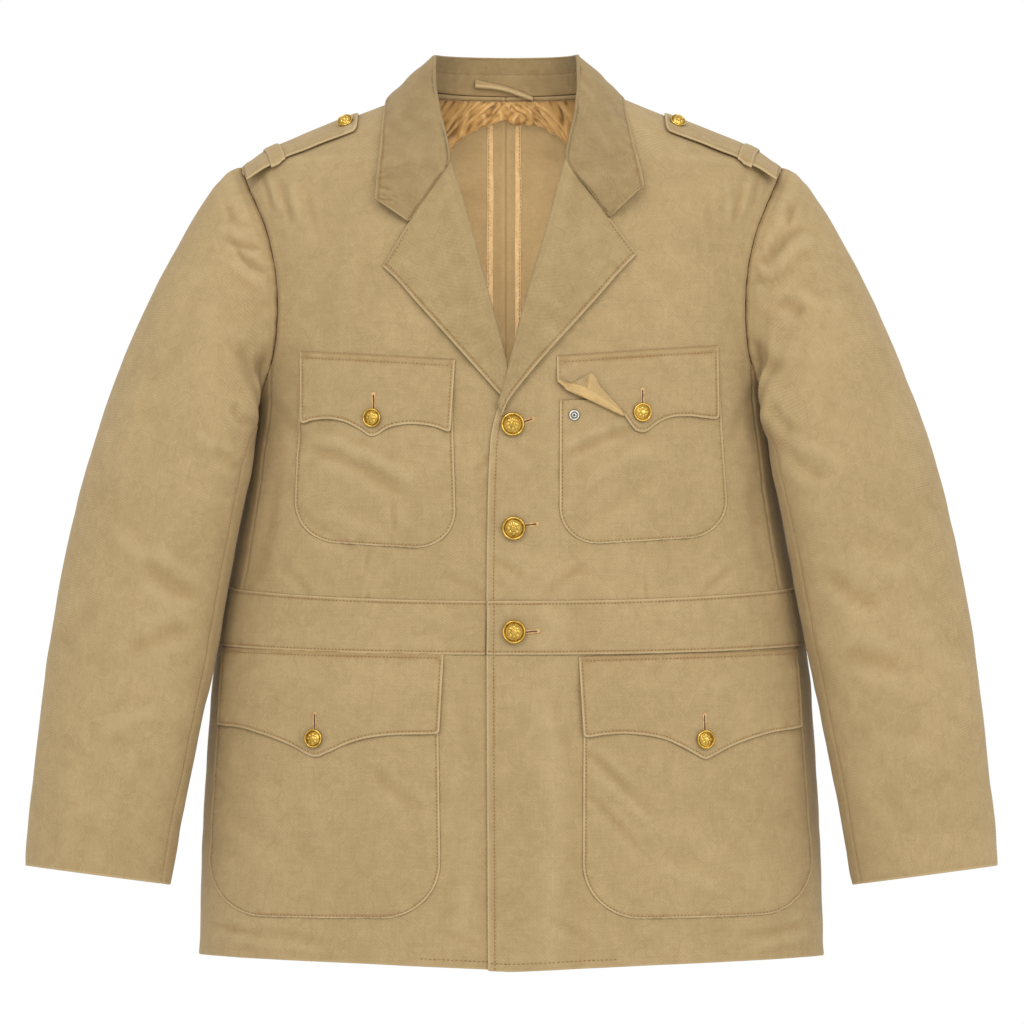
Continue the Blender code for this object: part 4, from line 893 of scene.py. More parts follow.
p = skirt_panel("cloth_skirt_back", lambda z: SIDE_SEAM + trim(np.full(z.shape, SIDE_SEAM), z, SEAM * 0.4),
                lambda z: 2 * math.pi - SIDE_SEAM - trim(np.full(z.shape, SIDE_SEAM), z, SEAM * 0.4), flat, 520.0)
sew(p, inset_line(p, 3, 6.0), 3.6)


# ---- belt: a strip sewn on over the waist seam ----------------------------------------------------------------------------
def belt_top(t):
    return -428.5 + 9.0 * np.sin(np.clip(np.abs(t), 0, math.pi / 2)) ** 2


def belt_bottom(t):
    return -472.5 + 5.0 * np.sin(np.clip(np.abs(t), 0, math.pi / 2)) ** 2


def belt(name, t_from, t_to, out, wide, seed, free_end):
    share = shares(44.0, 3.0)
    t = t_from + shares(wide, 4.0) * (t_to - t_from)
    bend = np.where(np.abs(t) > math.pi / 2, math.pi - np.abs(t), np.abs(t))
    z = belt_bottom(bend)[None, :] + share[:, None] * (belt_top(bend) - belt_bottom(bend))[None, :]
    tt = np.repeat(t[None, :], len(share), 0)
    base = body(tt, z)
    a, b, c, d = reaches(base)
    near = np.minimum(c, d)
    s = np.where(c < d, a, a + 3000)
    high = 1.2 + 0.45 * step((near - 2) / 9) + sewn_edge(near, s, seed, line=2.2, roll=0.3, dip=0.45, gather=0.42)
    high = high + 0.35 * noise(a / 38, c / 60, seed + 2)
    if free_end:
        high = high + sewn_edge(a, c, seed + 4, line=5.4, roll=0.3)
    P = base + body_out(tt, z) * (high + out(base[..., 0]) + swell(tt, z))[..., None]
    wear, tint = edge_marks(near, s, seed + 6, 2.2)
    wear = wear * 0.7
    if free_end:
        w2, t2 = edge_marks(a, c, seed + 8, 5.4)
        wear, tint = np.maximum(wear, w2), np.maximum(tint, t2 * 0.7)
    # pale edges: wear and painted highlight
    wear = np.maximum(wear, 0.35 * np.exp(-((b - 1.5) / 1.2) ** 2))
    piece = cloth(name, name[6:], P, axis(P), KHAKI, wear=wear, tint=tint, held="laid", rim=0.7,
                  rests=["cloth_back_left", "cloth_back_right"] if name.endswith("back") else ["cloth" + name[10:]])
    for e in (2, 3):
        sew(piece, inset_line(piece, e, 2.2))
    if free_end:
        sew(piece, inset_line(piece, 0, 5.4))
    return piece


belt("cloth_belt_front_left", float(turn_at(np.array(-20.0), np.array(-450.0))), BELT_SEAM, raise_left, 255.0, 101, True)
belt("cloth_belt_front_right", float(turn_at(np.array(-21.5), np.array(-450.0))), -BELT_SEAM, flat, 215.0, 111, False)
belt("cloth_belt_back", BELT_SEAM + 0.004, 2 * math.pi - BELT_SEAM - 0.004, flat, 720.0, 121, False)


# ---- sleeves --------------------------------------------------------------------------------------------------------------
SLEEVE_AT = [smooth(np.arange(len(SLEEVE)), [r[k] for r in SLEEVE]) for k in range(10)]


def sleeve_points(ring, deg, over=11.0):
    """Points of the left sleeve at ring numbers (from -1 at the armhole) and turns round it."""
    a = np.radians(deg)
    t, z = armhole(deg)
    hole = body(t, z)
    ends_t, ends_z = armhole(np.array([90.0, -90.0, 0.0, 180.0]))
    top, under, fore, aft = body(ends_t, ends_z)

    def loop(outer, inner, fore_depth, aft_depth, rise):
        p = (outer + inner) / 2 + (outer - inner)[None, :] / 2 * np.sin(a)[:, None]
        p[:, 1] -= np.where(np.cos(a) > 0, fore_depth, aft_depth) * np.cos(a)
        p[:, 2] += rise * np.cos(a)
        return p
    mid0 = (top[1] + under[1]) / 2
    lift = hole - loop(top, under, mid0 - fore[1], aft[1] - mid0, 0.0)

    def row(r):
        v = [f(np.array(max(r, 0.0))) for f in SLEEVE_AT]
        p = loop(np.array(v[0:3]), np.array(v[3:6]), *v[6:9]) + lift * v[9]
        if r < 0:
            start = hole + (p - hole) / np.linalg.norm(p - hole, axis=-1, keepdims=True) * 0.9
            p = start + (p - start) * (r + 1)
        tuck = over * np.exp(-((deg + 52) / 28.0) ** 2) * step((r + 0.6) / 1.2) * step((3.4 - r) / 2.2)
        return p - tuck[:, None] * np.array([1.0, 1.2, 0.0])
    # the head rolls over from the seam into the sleeve
    return np.stack([row(r) if r >= 1 else np.mean([row(r + k * 0.5 * (1 - abs(r))) for k in (-1, -0.5, 0, 0.5, 1)], axis=0) for r in ring])


CUFF_RINGS = np.concatenate([np.linspace(-1, 0, 7)[:-1], np.linspace(0, 9.9, 156), 10 - np.array([6, 4.6, 3.4, 2.4, 1.5, 0.7, 0]) / 62.0])


def sleeve_piece(name, side, first, last, under):
    deg = np.linspace(first, last, 124 if not under else 26)
    base = sleeve_points(CUFF_RINGS, deg, 11.0 if side < 0 else 16.0)
    a, b, c, d = reaches(base)
    inside = np.repeat(sleeve_points(CUFF_RINGS, np.array([90.0, -90.0])).mean(1, keepdims=True), base.shape[1], 1)
    n, sign = grid_out(base, inside)
    fore = step((np.cos(np.radians(deg)) + 0.1) / 0.35)[None, :]
    x, z = base[..., 0], base[..., 2]
    rows = SLEEVE_LEFT_CREASES if side > 0 else SLEEVE_RIGHT_CREASES
    high = 1.4 * (fore * creases(x, z, rows) + (1 - fore) * creases(x, z, SLEEVE_BACK_CREASES))
    round_mm = np.radians(deg)[None, :] * 62
    high = high + 0.9 * noise(round_mm / 55 + 3 * side, z / 80, 131) + 0.5 * noise(round_mm / 22 + side * z / 50, z / 20 + side, 133)
    # sleeve head: eased in with a soft roll and small gathers; the cuff is a turned edge
    along = np.radians(deg)[None, :] * 100 + 0 * z
    head = np.exp(-(c / 9.0) ** 2)
    high = high * step(c / 5.5) * step(d / 14 + 0.25)
    high = high + 0.7 * np.exp(-((c - 9) / 7.0) ** 2) - 0.6 * np.exp(-(c / 2.2) ** 2) + pucker(c, along, 0.8, 15, 8.5, 135 + side)
    high = high + 0.15 * step((30 - d) / 12) + pucker(np.abs(d - 30), along, 0.15, 8, 16, 139)
    near = np.minimum(a, b)
    high = high - 0.4 * np.exp(-(near / 1.8) ** 2) + 0.15 * np.exp(-((near - 3.6) / 2.0) ** 2) + pucker(near, z, 0.25, 9, 12, 141 + side)
    P = base + n * high[..., None]
    # pale cuff edge and seam ridges: wear and painted highlight
    wear = np.exp(-(d / 1.0) ** 2) * 0.7 + 0.15 * np.exp(-((near - 1.8) / 1.2) ** 2) + 0.2 * np.exp(-((c - 2) / 1.4) ** 2)
    tint = np.maximum(0.45 * np.exp(-(near / 0.8) ** 2), 0.8 * np.exp(-(c / 0.9) ** 2))
    P, inside = mirrored(P, side), mirrored(inside, side)
    return cloth(name, name[6:], P, inside, KHAKI, wear=wear, tint=tint)


for word, sign in (("right", -1), ("left", 1)):
    sleeve_piece("cloth_sleeve_top_" + word, sign, SLEEVE_FRONT_SEAM + 0.25, SLEEVE_BACK_SEAM + 360 - 0.25, False)
    sleeve_piece("cloth_sleeve_under_" + word, sign, SLEEVE_BACK_SEAM + 0.25, SLEEVE_FRONT_SEAM - 0.25, True)


# ---- lapels ---------------------------------------------------------------------------------------------------------------
def lapel(name, side, rows, edge, out, seed):
    table = np.array(rows)
    at = np.linspace(0, 1, len(rows))
    fine = shares(230.0, 3.4)
    rz, ex, ez = [smooth(at, table[:, k])(fine) for k in range(3)]
    rx = edge(rz)
    high = 3.4 + 1.0 * step(fine * 2)
    lead = np.hypot(ex - rx, ez - rz)
    dx, dz = (ex - rx) / lead, (ez - rz) / lead
    roll = np.radians(np.linspace(0, 180, 9))[:-1]
    part = shares(95.0, 3.0, start=False)
    x = np.concatenate([rx[:, None] + 0.5 - dx[:, None] * high[:, None] / 2 * np.sin(roll), rx[:, None] + (ex - rx)[:, None] * part], 1)
    z = np.concatenate([rz[:, None] - dz[:, None] * high[:, None] / 2 * np.sin(roll), rz[:, None] + (ez - rz)[:, None] * part], 1)
    way = np.concatenate([np.zeros((len(fine), len(roll))), lead[:, None] * part], 1)
    d = np.concatenate([np.full((len(fine), len(roll)), 99.0), lead[:, None] * (1 - part)], 1)      # to the outer edge
    gorge = np.repeat((fine * 230.0)[:, None], x.shape[1], 1)                                       # to the gorge seam
    s = gorge * 1.0
    lift = np.concatenate([high[:, None] / 2 * (1 - np.cos(roll)), np.repeat(high[:, None], len(part), 1)], 1)
    lift = lift + sewn_edge(d, s, seed, line=2.8, roll=0.4, dip=0.5, gather=0.48)
    lift = lift + (0.6 * noise(x / 40, z / 45, seed + 3) + 0.75 * noise(x / 15 + z / 30, z / 16, seed + 4)) * step(way / 20) + 1.1 * np.exp(-((way - 9) / 9) ** 2) * step(way / 6)
    lift = lift - 0.5 * np.exp(-(gorge / 1.6) ** 2) + 0.35 * np.exp(-((gorge - 4) / 2) ** 2) * (way > 2)
    P = on_front(x, z, lift + out(x), side)
    wear, tint = edge_marks(d, s, seed + 5, 2.8)
    tint = np.clip(tint * 1.4, 0, 1)
    # pale edges: wear and painted highlight
    wear = np.maximum(wear, 0.35 * np.exp(-((gorge - 1.4) / 1.0) ** 2))
    past = step((way / lead[:, None] - 0.59) / 0.03)                # past the notch the upper edge is free
    wear = np.maximum(wear, 0.8 * past * np.exp(-(gorge / 0.8) ** 2))
    tint = np.maximum(tint, 0.7 * (1 - past) * np.exp(-(gorge / 0.8) ** 2))
    tint = np.maximum(tint, 0.8 * past * np.exp(-((gorge - 2.8) / 1.1) ** 2))
    piece = cloth(name, name[6:], P, axis(P), LAPEL_KHAKI_SHADED, wear=wear, tint=tint, held="folded", rests=["cloth_front_" + name[12:]], rim=0.8)
    sew(piece, inset_line(piece, 1, 2.8, 0.03, 0.97))
    sew(piece, inset_line(piece, 2, 2.8, 0.64, 0.96))
    return piece


lapel("cloth_lapel_right", -1, LAPEL_RIGHT, edge_right, flat, 151)
lapel("cloth_lapel_left", 1, LAPEL_LEFT, edge_left, raise_left, 161)

# ---- collar ---------------------------------------------------------------------------------------------------------------
collar_rows = np.array([(-r[0], r[1], r[2], -r[3], r[4], r[5]) for r in reversed(COLLAR_RIGHT)] + COLLAR_LEFT[1:])
stations = np.linspace(0, 1, len(collar_rows))
fine = shares(560.0, 3.8)
fold = np.stack([smooth(stations, collar_rows[:, k])(fine) for k in range(3)], -1)
free = np.stack([smooth(stations, collar_rows[:, k])(fine) for k in range(3, 6)], -1)
along = np.gradient(fold, axis=0)
puff = np.cross(along, free - fold)
puff /= np.linalg.norm(puff, axis=-1, keepdims=True)
puff *= np.sign(np.sum(puff * (fold - np.array([0.0, 0.0, -40.0])), -1, keepdims=True))
share = shares(60.0, 2.8, start=False)
inward = -np.stack([fold[:, 0], fold[:, 1] + 12.0, 0 * fold[:, 2]], -1)
inward /= np.linalg.norm(inward, axis=-1, keepdims=True)
fall = fold[:, None, :] + (free - fold)[:, None, :] * share[None, :, None]
wide = np.linalg.norm(free - fold, axis=-1)
d = wide[:, None] * (1 - share[None, :])
s = np.repeat((fine * 560.0)[:, None], len(share), 1)
puff_up = 0.6 + 2.4 * step((-fold[:, 1] - 40) / 40) + 1.5 * step((fold[:, 1] - 35) / 20)
lift = puff_up[:, None] * np.sin(np.pi * share[None, :]) ** 0.8 + 0 * d
lift = lift + sewn_edge(d, s, 171, line=3.0, roll=0.4, dip=0.5, gather=0.48) + (0.6 * noise(s / 40, d / 36, 173) + 0.75 * noise(s / 14 + d / 20, d / 15, 174)) * step(d / 8)
end_r, end_l = s, 560.0 - s
end = np.minimum(end_r, end_l)
lift = lift + sewn_edge(end, d, 175, line=3.6, roll=0.3, dip=0.35, gather=0.25) * (d < 34)
lift = lift - 2.4 * np.exp(-(end / 3.2) ** 2) * step((d - 30) / 5)
# creases at the tip of the right collar leaf
tip = [(0.2, 0.92, 0.55, 0.70, 1.6), (0.55, 0.97, 0.85, 0.62, 1.4), (1.1, 0.98, 1.25, 0.66, 1.2)]
for s0, q0, s1, q1, w in tip:
    x0, y0, x1, y1 = s0 * 22, (1 - q0) * 55, s1 * 22, (1 - q1) * 55
    long = math.hypot(x1 - x0, y1 - y0)
    ux, uy = (x1 - x0) / long, (y1 - y0) / long
    al = ((s - x0) * ux + (d - y0) * uy) / long
    q = (-(s - x0) * uy + (d - y0) * ux) / w
    lift = lift - 1.5 * step((al + 0.15) / 0.4) * step((1.15 - al) / 0.4) * (1 - 0.6 * q * q) * np.exp(-0.8 * q * q)
fall = fall + puff[:, None, :] * lift[..., None]
bend = np.radians(np.linspace(-80, 90, 9))[:-1]
roll_r = 1.2
# roll over the fold, from inside the neck to the fall
roll_part = (fold + inward * roll_r)[:, None, :] - inward[:, None, :] * (roll_r * np.sin(bend))[None, :, None] \
    + np.array([0, 0, 1.0]) * (roll_r * np.cos(bend) - 0.2)[None, :, None]
P = np.concatenate([roll_part, fall], 1)
pad = np.zeros((len(fine), len(bend)))
wear, tint = edge_marks(d, s, 177, 3.0)
tint = np.clip(tint * 1.4, 0, 1)
w2, t2 = edge_marks(end, d, 179, 3.6)
wear, tint = np.maximum(wear, w2 * 0.8), np.maximum(tint, t2 * 0.5 * (d < 34))
inside = np.stack([0 * P[..., 0], 0 * P[..., 1] - 12, 0 * P[..., 2] - 40], -1)
collar = cloth("cloth_collar_fall", "collar_fall", P, inside, COLLAR_KHAKI_SHADED, wear=np.concatenate([pad, wear], 1),
               tint=np.concatenate([pad, tint], 1), held="folded", rests=["cloth_collar_stand"], rim=0.8)
sew(collar, inset_line(collar, 1, 3.0, 0.012, 0.988))

neck_deg = np.linspace(-128.0, 128.0, 120)


def neck_seam(deg):
    if abs(deg) <= 90:
        return body(math.pi - math.radians(deg), NECK_Z + 1.2)
    z = NECK_Z + 1.2 - (abs(deg) - 90) * 1.05
    x = (edge_left if deg > 0 else edge_right)(np.array(z))
    q = body(turn_at(x, np.array(z)), np.array(z))
    q[0] *= np.sign(deg)
    return q + np.array([-np.sign(deg) * 1.6, 1.2, 1.2])


fold_deg = np.degrees(np.arctan2(fold[:, 0], fold[:, 1] + 12.0))
keep = np.abs(fold_deg) < 150
up = shares(34.0, 2.0)
rows = []
for deg in neck_deg:
    low = neck_seam(deg)
    high = np.array([np.interp(deg, fold_deg[keep], fold[keep, k]) for k in range(3)])
    way_in = -np.array([high[0], high[1] + 12.0, 0.0])
    way_in /= np.linalg.norm(way_in)
    top = high + way_in * 2.2 + np.array([0, 0, -0.6])
    rows.append(low[None, :] + up[:, None] * (top - low)[None, :])
P = np.stack(rows)
a, b, c, d = reaches(P)
inside = np.stack([0 * P[..., 0], 0 * P[..., 1] - 12, P[..., 2]], -1)
n, sign = grid_out(P, inside)
s = np.repeat((np.radians(neck_deg) * 64)[:, None], P.shape[1], 1)
high = 0.35 * np.exp(-((b - 12.5) / 1.1) ** 2) + pucker(np.abs(b - 12.5), s, 0.5, 7, 6, 181) + 0.4 * noise(s / 22, a / 20, 183)
high = high + pucker(a, s, 0.45, 8, 7, 185)
P = P + n * (high * step(a / 3) * step(b / 4))[..., None]
tint = 0.75 * np.exp(-((b - 12.5) / 0.9) ** 2) + 0.6 * np.exp(-(a / 1.2) ** 2)
# pale top edge: wear and painted highlight
stand = cloth("cloth_collar_stand", "collar_stand", P, inside, COLLAR_KHAKI_SHADED, tint=tint, wear=0.2 * np.exp(-((b - 14.2) / 1.0) ** 2),
              held="folded", rests=["cloth_back_left", "cloth_back_right"])


def inner_line(piece, edge, d, lo=0.0, hi=1.0):
    """Line on the inner face of a piece."""
    pts, ns = inset_line(piece, edge, d, lo, hi)
    return pts - ns * WALL, -ns


sew(stand, inner_line(stand, 1, 12.5, 0.14, 0.86), 2.7)


# ---- pockets --------------------------------------------------------------------------------------------------------------
def quad(ti, to, bi, bo, p, q):
    ti, to, bi, bo = (np.array(v) for v in (ti, to, bi, bo))
    p, q = p[..., None], q[..., None]
    return (ti * (1 - p) + to * p) * (1 - q) + (bi * (1 - p) + bo * p) * q


def edge_reach(x, z, line):
    """Distance to a line of x, z points and the way along it."""
    a, b = line[:-1], line[1:]
    ab = b - a
    long = np.maximum(np.linalg.norm(ab, axis=-1), 1e-9)
    start = np.concatenate([[0], np.cumsum(long)[:-1]])
    p = np.stack([np.ravel(x), np.ravel(z)], -1)[:, None, :]
    t = np.clip(((p - a) * ab).sum(-1) / long ** 2, 0, 1)
    r = np.linalg.norm(p - (a + t[..., None] * ab), axis=-1)
    k = r.argmin(1)
    i = np.arange(len(k))
    return r[i, k].reshape(np.shape(x)), (start[k] + t[i, k] * long[k]).reshape(np.shape(x))


def inset(line, d):
    """Line moved by d to its left."""
    g = np.gradient(line, axis=0)
    g /= np.maximum(np.linalg.norm(g, axis=-1, keepdims=True), 1e-9)
    return line + np.stack([-g[:, 1], g[:, 0]], -1) * d


def walk(line, pitch):
    long = np.concatenate([[0], np.cumsum(np.linalg.norm(np.diff(line, axis=0), axis=-1))])
    s = np.linspace(0, long[-1], max(2, int(long[-1] / pitch)))
    return np.stack([np.interp(s, long, line[:, k]) for k in range(2)], -1)


def front_out(x, z, side):
    n = body_out(turn_at(np.asarray(x, float), np.asarray(z, float)), np.asarray(z, float))
    n = n.copy()
    n[..., 0] *= side
    return n


def under_of(side):
    return raise_left if side > 0 else flat


pocket_high = {}
for index, (name, (side, ti, to, bi, bo, radius)) in enumerate(POCKETS.items()):
    seed = 201 + 20 * index
    wide, tall = to[0] - ti[0], ti[1] - bi[1]
    rp, rq = radius / wide, radius / tall
    bend = np.radians(np.linspace(0, 90, 20)[1:])
    q = np.concatenate([np.linspace(0, 1 - rq, int((1 - rq) * tall / 3.3)), 1 - rq + rq * np.sin(bend)])
    pull = np.concatenate([np.zeros(len(q) - len(bend)), rp * (1 - np.cos(bend))])
    across = shares(wide * 1.15, 3.3)
    p = pull[:, None] + across[None, :] * (1 - 2 * pull)[:, None]
    place = quad(ti, to, bi, bo, p, np.repeat(q[:, None], len(across), 1))
    x, z = place[..., 0], place[..., 1]
    line = np.concatenate([place[:, 0], place[-1, 1:-1], place[::-1, -1]])       # down the inner side, along, up the outer
    line = walk(line, 3.0)
    d, s = edge_reach(x, z, line)
    full_ness = np.sin(np.pi * np.clip(p, 0, 1)) * np.sin(np.pi * np.clip(0.15 + 0.85 * q, 0, 1))[:, None]

    def pocket_lift(d, s, x, z, seed=seed):
        return (1.25 + 0.35 * step((d - 2) / 10) + sewn_edge(d, s, seed, line=1.8, roll=0.3, dip=0.5, gather=0.46)
                + 0.4 * noise(x / 34, z / 38, seed + 3) * step(d / 18))
    high = pocket_lift(d, s, x, z) + 0.4 * full_ness
    P = on_front(x, z, high + under_of(side)(x), side)
    wear, tint = edge_marks(d, s, seed + 5, 1.8)
    # painted shadow: a dark ring on the pocket cloth round the eyelet
    if name == "chest_pocket_left":
        tint = np.maximum(tint, 0.7 * np.exp(-((np.hypot(x - 52.1, z + 273.9) - 4.9) / 0.9) ** 2))
    piece = cloth("cloth_" + name, name, P, axis(P), KHAKI, wear=wear, tint=tint, held="laid", wall=OVER_WALL, rim=0.8,
                  rests=[("cloth_front_" if name.startswith("chest") else "cloth_skirt_front_") + name.split("_")[-1]])
    sl = inset(walk(line, 1.5), 1.8)
    if edge_reach(sl[:, 0], sl[:, 1], line)[0].mean() > 6 or sl[len(sl) // 2, 1] < line[:, 1].min():
        sl = inset(walk(line, 1.5), -1.8)
    dd, ss = edge_reach(sl[:, 0], sl[:, 1], line)
    hh = pocket_lift(dd, ss, sl[:, 0], sl[:, 1]) + OVER_WALL / 2
    sew(piece, (on_front(sl[:, 0], sl[:, 1], hh + under_of(side)(sl[:, 0]), side), front_out(sl[:, 0], sl[:, 1], side)))


# ---- flaps ----------------------------------------------------------------------------------------------------------------
# lower edge of each flap: own x, height
FLAP_EDGES = {
    "chest_flap_right": [(49.4, -285.4), (52.1, -287.0), (62.4, -283.5), (71.6, -281.6), (83.1, -280.7), (94.7, -281.8), (103.9, -284.5),
                         (109.6, -288.4), (113.0, -290.2), (116.6, -290.9), (119.6, -289.9), (122.4, -287.8), (131.8, -282.0), (141.2, -278.0),
                         (154.2, -276.0), (167.1, -277.0), (175.5, -279.3), (178.4, -276.9)],
    "chest_flap_left": [(38.3, -281.0), (60.0, -276.0), (80.0, -270.0), (93.7, -272.6), (96.3, -276.9), (99.6, -281.3), (104.0, -286.1),
                        (109.5, -287.4), (114.0, -286.1), (120.6, -280.8), (129.5, -276.1), (138.4, -274.0), (149.6, -273.7), (160.9, -274.9),
                        (171.1, -275.8), (174.4, -274.0)],
    "hip_flap_right": [(60.0, -536.3), (62.8, -538.0), (82.0, -538.4), (101.1, -539.3), (117.6, -541.3), (134.2, -545.7), (146.6, -551.3),
                       (156.3, -555.6), (160.6, -557.6), (164.1, -558.1), (167.6, -557.5), (171.7, -555.9), (181.5, -550.6), (195.6, -544.6),
                       (212.8, -539.2), (230.3, -535.2), (248.1, -534.2)],
    "hip_flap_left": [(60.4, -539.6), (62.6, -540.7), (76.3, -538.9), (92.7, -537.9), (109.2, -539.1), (125.7, -542.2), (139.5, -547.9),
                      (152.0, -554.7), (158.6, -558.7), (162.5, -560.1), (166.2, -558.6), (171.4, -555.9), (184.1, -549.8), (201.1, -543.7),
                      (221.2, -538.9), (242.2, -536.5), (247.2, -535.5)],
}
flap_data = {}
for index, (name, (side, ti, to, bi, bo, drop, rise, tip_at)) in enumerate(FLAPS.items()):
    seed = 301 + 20 * index
    wide = to[0] - ti[0]
    chest = "chest" in name
    turned = name == "chest_flap_left"
    p = shares(wide * 1.12, 3.0)
    q = shares(60.0, 2.7)
    place = quad(ti, to, bi, bo, *np.meshgrid(p, q))
    table = np.array(FLAP_EDGES[name])
    low = smooth(table[:, 0], table[:, 1])(place[-1, :, 0])
    top = place[0, :, 1].copy()
    if turned:
        (ax, az), (bx, bz) = TURN_FROM, TURN_TO
        fold_z = az + (place[0, :, 0] - ax) / (bx - ax) * (bz - az)
        low = np.where(place[0, :, 0] < bx, np.maximum(low, fold_z), low)
    place[..., 1] = top + q[:, None] * (low - top)[None, :]
    x, z = place[..., 0], place[..., 1]
    line = np.concatenate([place[:, 0], place[-1, 1:-1], place[::-1, -1]])
    line = walk(line, 2.5)
    top_line = walk(place[0], 3.0)

    def flap_lift(x, z, line=line, top_line=top_line, seed=seed, chest=chest, turned=turned, name=name):
        d, s = edge_reach(x, z, line)
        dt, st = edge_reach(x, z, top_line)
        hang = step(dt / 26.0)
        high = 1.5 + 1.9 * hang + sewn_edge(d, s, seed, line=2.1, roll=0.3, dip=0.45, gather=0.42) * step(dt / 9)
        high = high + (0.5 * noise(s / 26, 0 * s, seed + 3) + 0.2) * np.exp(-(d / 13) ** 2) * step((dt - 18) / 16)
        high = high + 0.4 * noise(x / 30, z / 26, seed + 4) * hang
        top_line_at = 4.8 if chest else 3.0
        wavy = 1.5 if name == "hip_flap_left" else 0.6
        high = high - 0.55 * np.exp(-((dt - top_line_at) / 1.3) ** 2) + pucker(np.abs(dt - top_line_at), st, 0.55 * wavy + 0.15, 5.5, 8.5, seed + 6)
        return high, d, s, dt, st
    high, d, s, dt, st = flap_lift(x, z)
    P = on_front(x, z, high + under_of(side)(x), side)
    wear, tint = edge_marks(d, s, seed + 8, 2.1)
    line_at = 4.8 if chest else 3.0
    tint = np.maximum(tint * step(dt / 6), 0.95 * np.exp(-((dt - line_at) / 1.9) ** 2) * np.clip(0.62 + 0.55 * noise(st / 15, 0 * st, seed + 9), 0, 1))
    tint = np.maximum(tint, 0.8 * np.exp(-(dt / 0.9) ** 2))
    corner = np.minimum(np.hypot(x - ti[0] - 4, z - ti[1] + 4), np.hypot(x - to[0] + 5, z - to[1] + 4))
    tint = np.maximum(tint, 0.6 * np.exp(-(corner / 4.0) ** 2))
    piece = cloth("cloth_" + name, name, P, axis(P), KHAKI, wear=wear, tint=tint, held="hung", wall=OVER_WALL, rim=0.8,
                  rests=["cloth_" + name.replace("flap", "pocket")])
    flap_data[name] = (flap_lift, side, piece)

    def sew_flap(path, side=side, piece=piece, flap_lift=flap_lift):
        h = flap_lift(path[:, 0], path[:, 1])[0] + OVER_WALL / 2
        sew(piece, (on_front(path[:, 0], path[:, 1], h + under_of(side)(path[:, 0]), side), front_out(path[:, 0], path[:, 1], side)))
    sl = inset(walk(line, 1.2), 2.1)
    if sl[len(sl) // 2, 1] < line[:, 1].min():
        sl = inset(walk(line, 1.2), -2.1)
    dd = edge_reach(sl[:, 0], sl[:, 1], line)[0]
    dt2 = edge_reach(sl[:, 0], sl[:, 1], top_line)[0]
    good = (dd > 1.8) & (dt2 > line_at - 0.5)
    if turned:
        good &= ~((sl[:, 0] < bx + 3) & (sl[:, 1] < az + 6 - (sl[:, 0] - ax) * 0.45))
    runs = np.split(np.arange(len(sl)), np.where(np.diff(good.astype(int)) != 0)[0] + 1)
    for run in runs:
        if good[run[0]] and len(run) > 4:
            sew_flap(sl[run])
    tl = inset(walk(place[0], 1.2), -line_at)
    if tl[:, 1].mean() > place[0, :, 1].mean():
        tl = inset(walk(place[0], 1.2), line_at)
    sew_flap(tl[4:-4])

# turned-up corner of the left chest flap: share along the fold, reach above it, bulge of the roll below it, lift of the free edge
TURNED = [(0.0, 0.6, 0.6, 0.3), (0.10, 1.2, 1.8, 1.2), (0.16, 2.0, 3.4, 2.0), (0.26, 10.0, 3.0, 1.6), (0.365, 18.2, 2.4, 2.2),
          (0.43, 16.5, 2.2, 3.2), (0.55, 11.5, 1.8, 2.0), (0.75, 7.0, 1.2, 1.2), (0.95, 2.5, 0.7, 0.6), (1.0, 0.6, 0.4, 0.3)]
flap_lift, side, flap_piece = flap_data["chest_flap_left"]
(ax, az), (bx, bz) = TURN_FROM, TURN_TO
long = math.hypot(bx - ax, bz - az)
wx, wz = (bx - ax) / long, (bz - az) / long
tab = np.array(TURNED)
al = np.linspace(0, 1, 72)
reach_up, bulge, lift_up = [smooth(tab[:, 0], tab[:, k])(al) for k in (1, 2, 3)]
roll = np.radians(np.linspace(0, 180, 12))[:-1]
k = np.linspace(0, 1, 20)
band = smooth([0.0, 0.06, 0.12, 0.20, 0.32, 0.45, 0.60, 0.80, 1.0], [0.5, 2.2, 3.0, 2.6, 4.2, 4.8, 4.0, 2.6, 0.5])(al)
band = np.minimum(band, reach_up * 0.9 + 0.4)
off = np.concatenate([-bulge[:, None] * np.sin(roll)[None, :], reach_up[:, None] * k[None, :]], 1)
rr = 1.35
flat_k = np.concatenate([np.zeros((len(al), len(roll))), np.repeat(k[None, :], len(al), 0)], 1)
up = np.concatenate([np.repeat((rr * (1 - np.cos(roll)))[None, :], len(al), 0), 2 * rr + 0 * al[:, None] * k[None, :]], 1)
past = off - band[:, None]                                     # past the rolled band lies the sunk middle of the corner
sunk = step(past / 1.6) * (off > 0)
rib_at = 0.352 + 0.105 * (1 - flat_k) ** 1.2                   # rib from the peak down to the band
from_rib = (al[:, None] - rib_at) * long
rib = np.exp(-(from_rib / 1.5) ** 2) * sunk
wing = step((from_rib + 0.6) / 1.6)
up = up - 1.7 * sunk * (1 - wing) - 0.4 * sunk * wing + 1.3 * rib + 0.9 * flat_k ** 2 * lift_up[:, None] * 0.5
up = up + 0.5 * noise(al[:, None] * 11, off / 5, 7) * step(off / 2) + 0.45 * noise(al[:, None] * 26, off / 4, 9) * (off <= 0)
knot = np.exp(-((al[:, None] - 0.10) / 0.045) ** 2 - ((off - 0.6) / 2.6) ** 2)
up = up + 1.5 * knot - 1.5 * np.exp(-((al[:, None] - 0.085) / 0.03) ** 2 - ((off - 0.4) / 0.9) ** 2)
fx = ax + wx * long * al[:, None] - wz * off
fz = az + wz * long * al[:, None] + wx * off
base_h = flap_lift(ax + wx * long * al, az + wz * long * al)[0][:, None] + 0.25
P = on_front(fx, fz, base_h + up + under_of(1)(fx), 1)
a_, b_, c_, d_ = reaches(P)
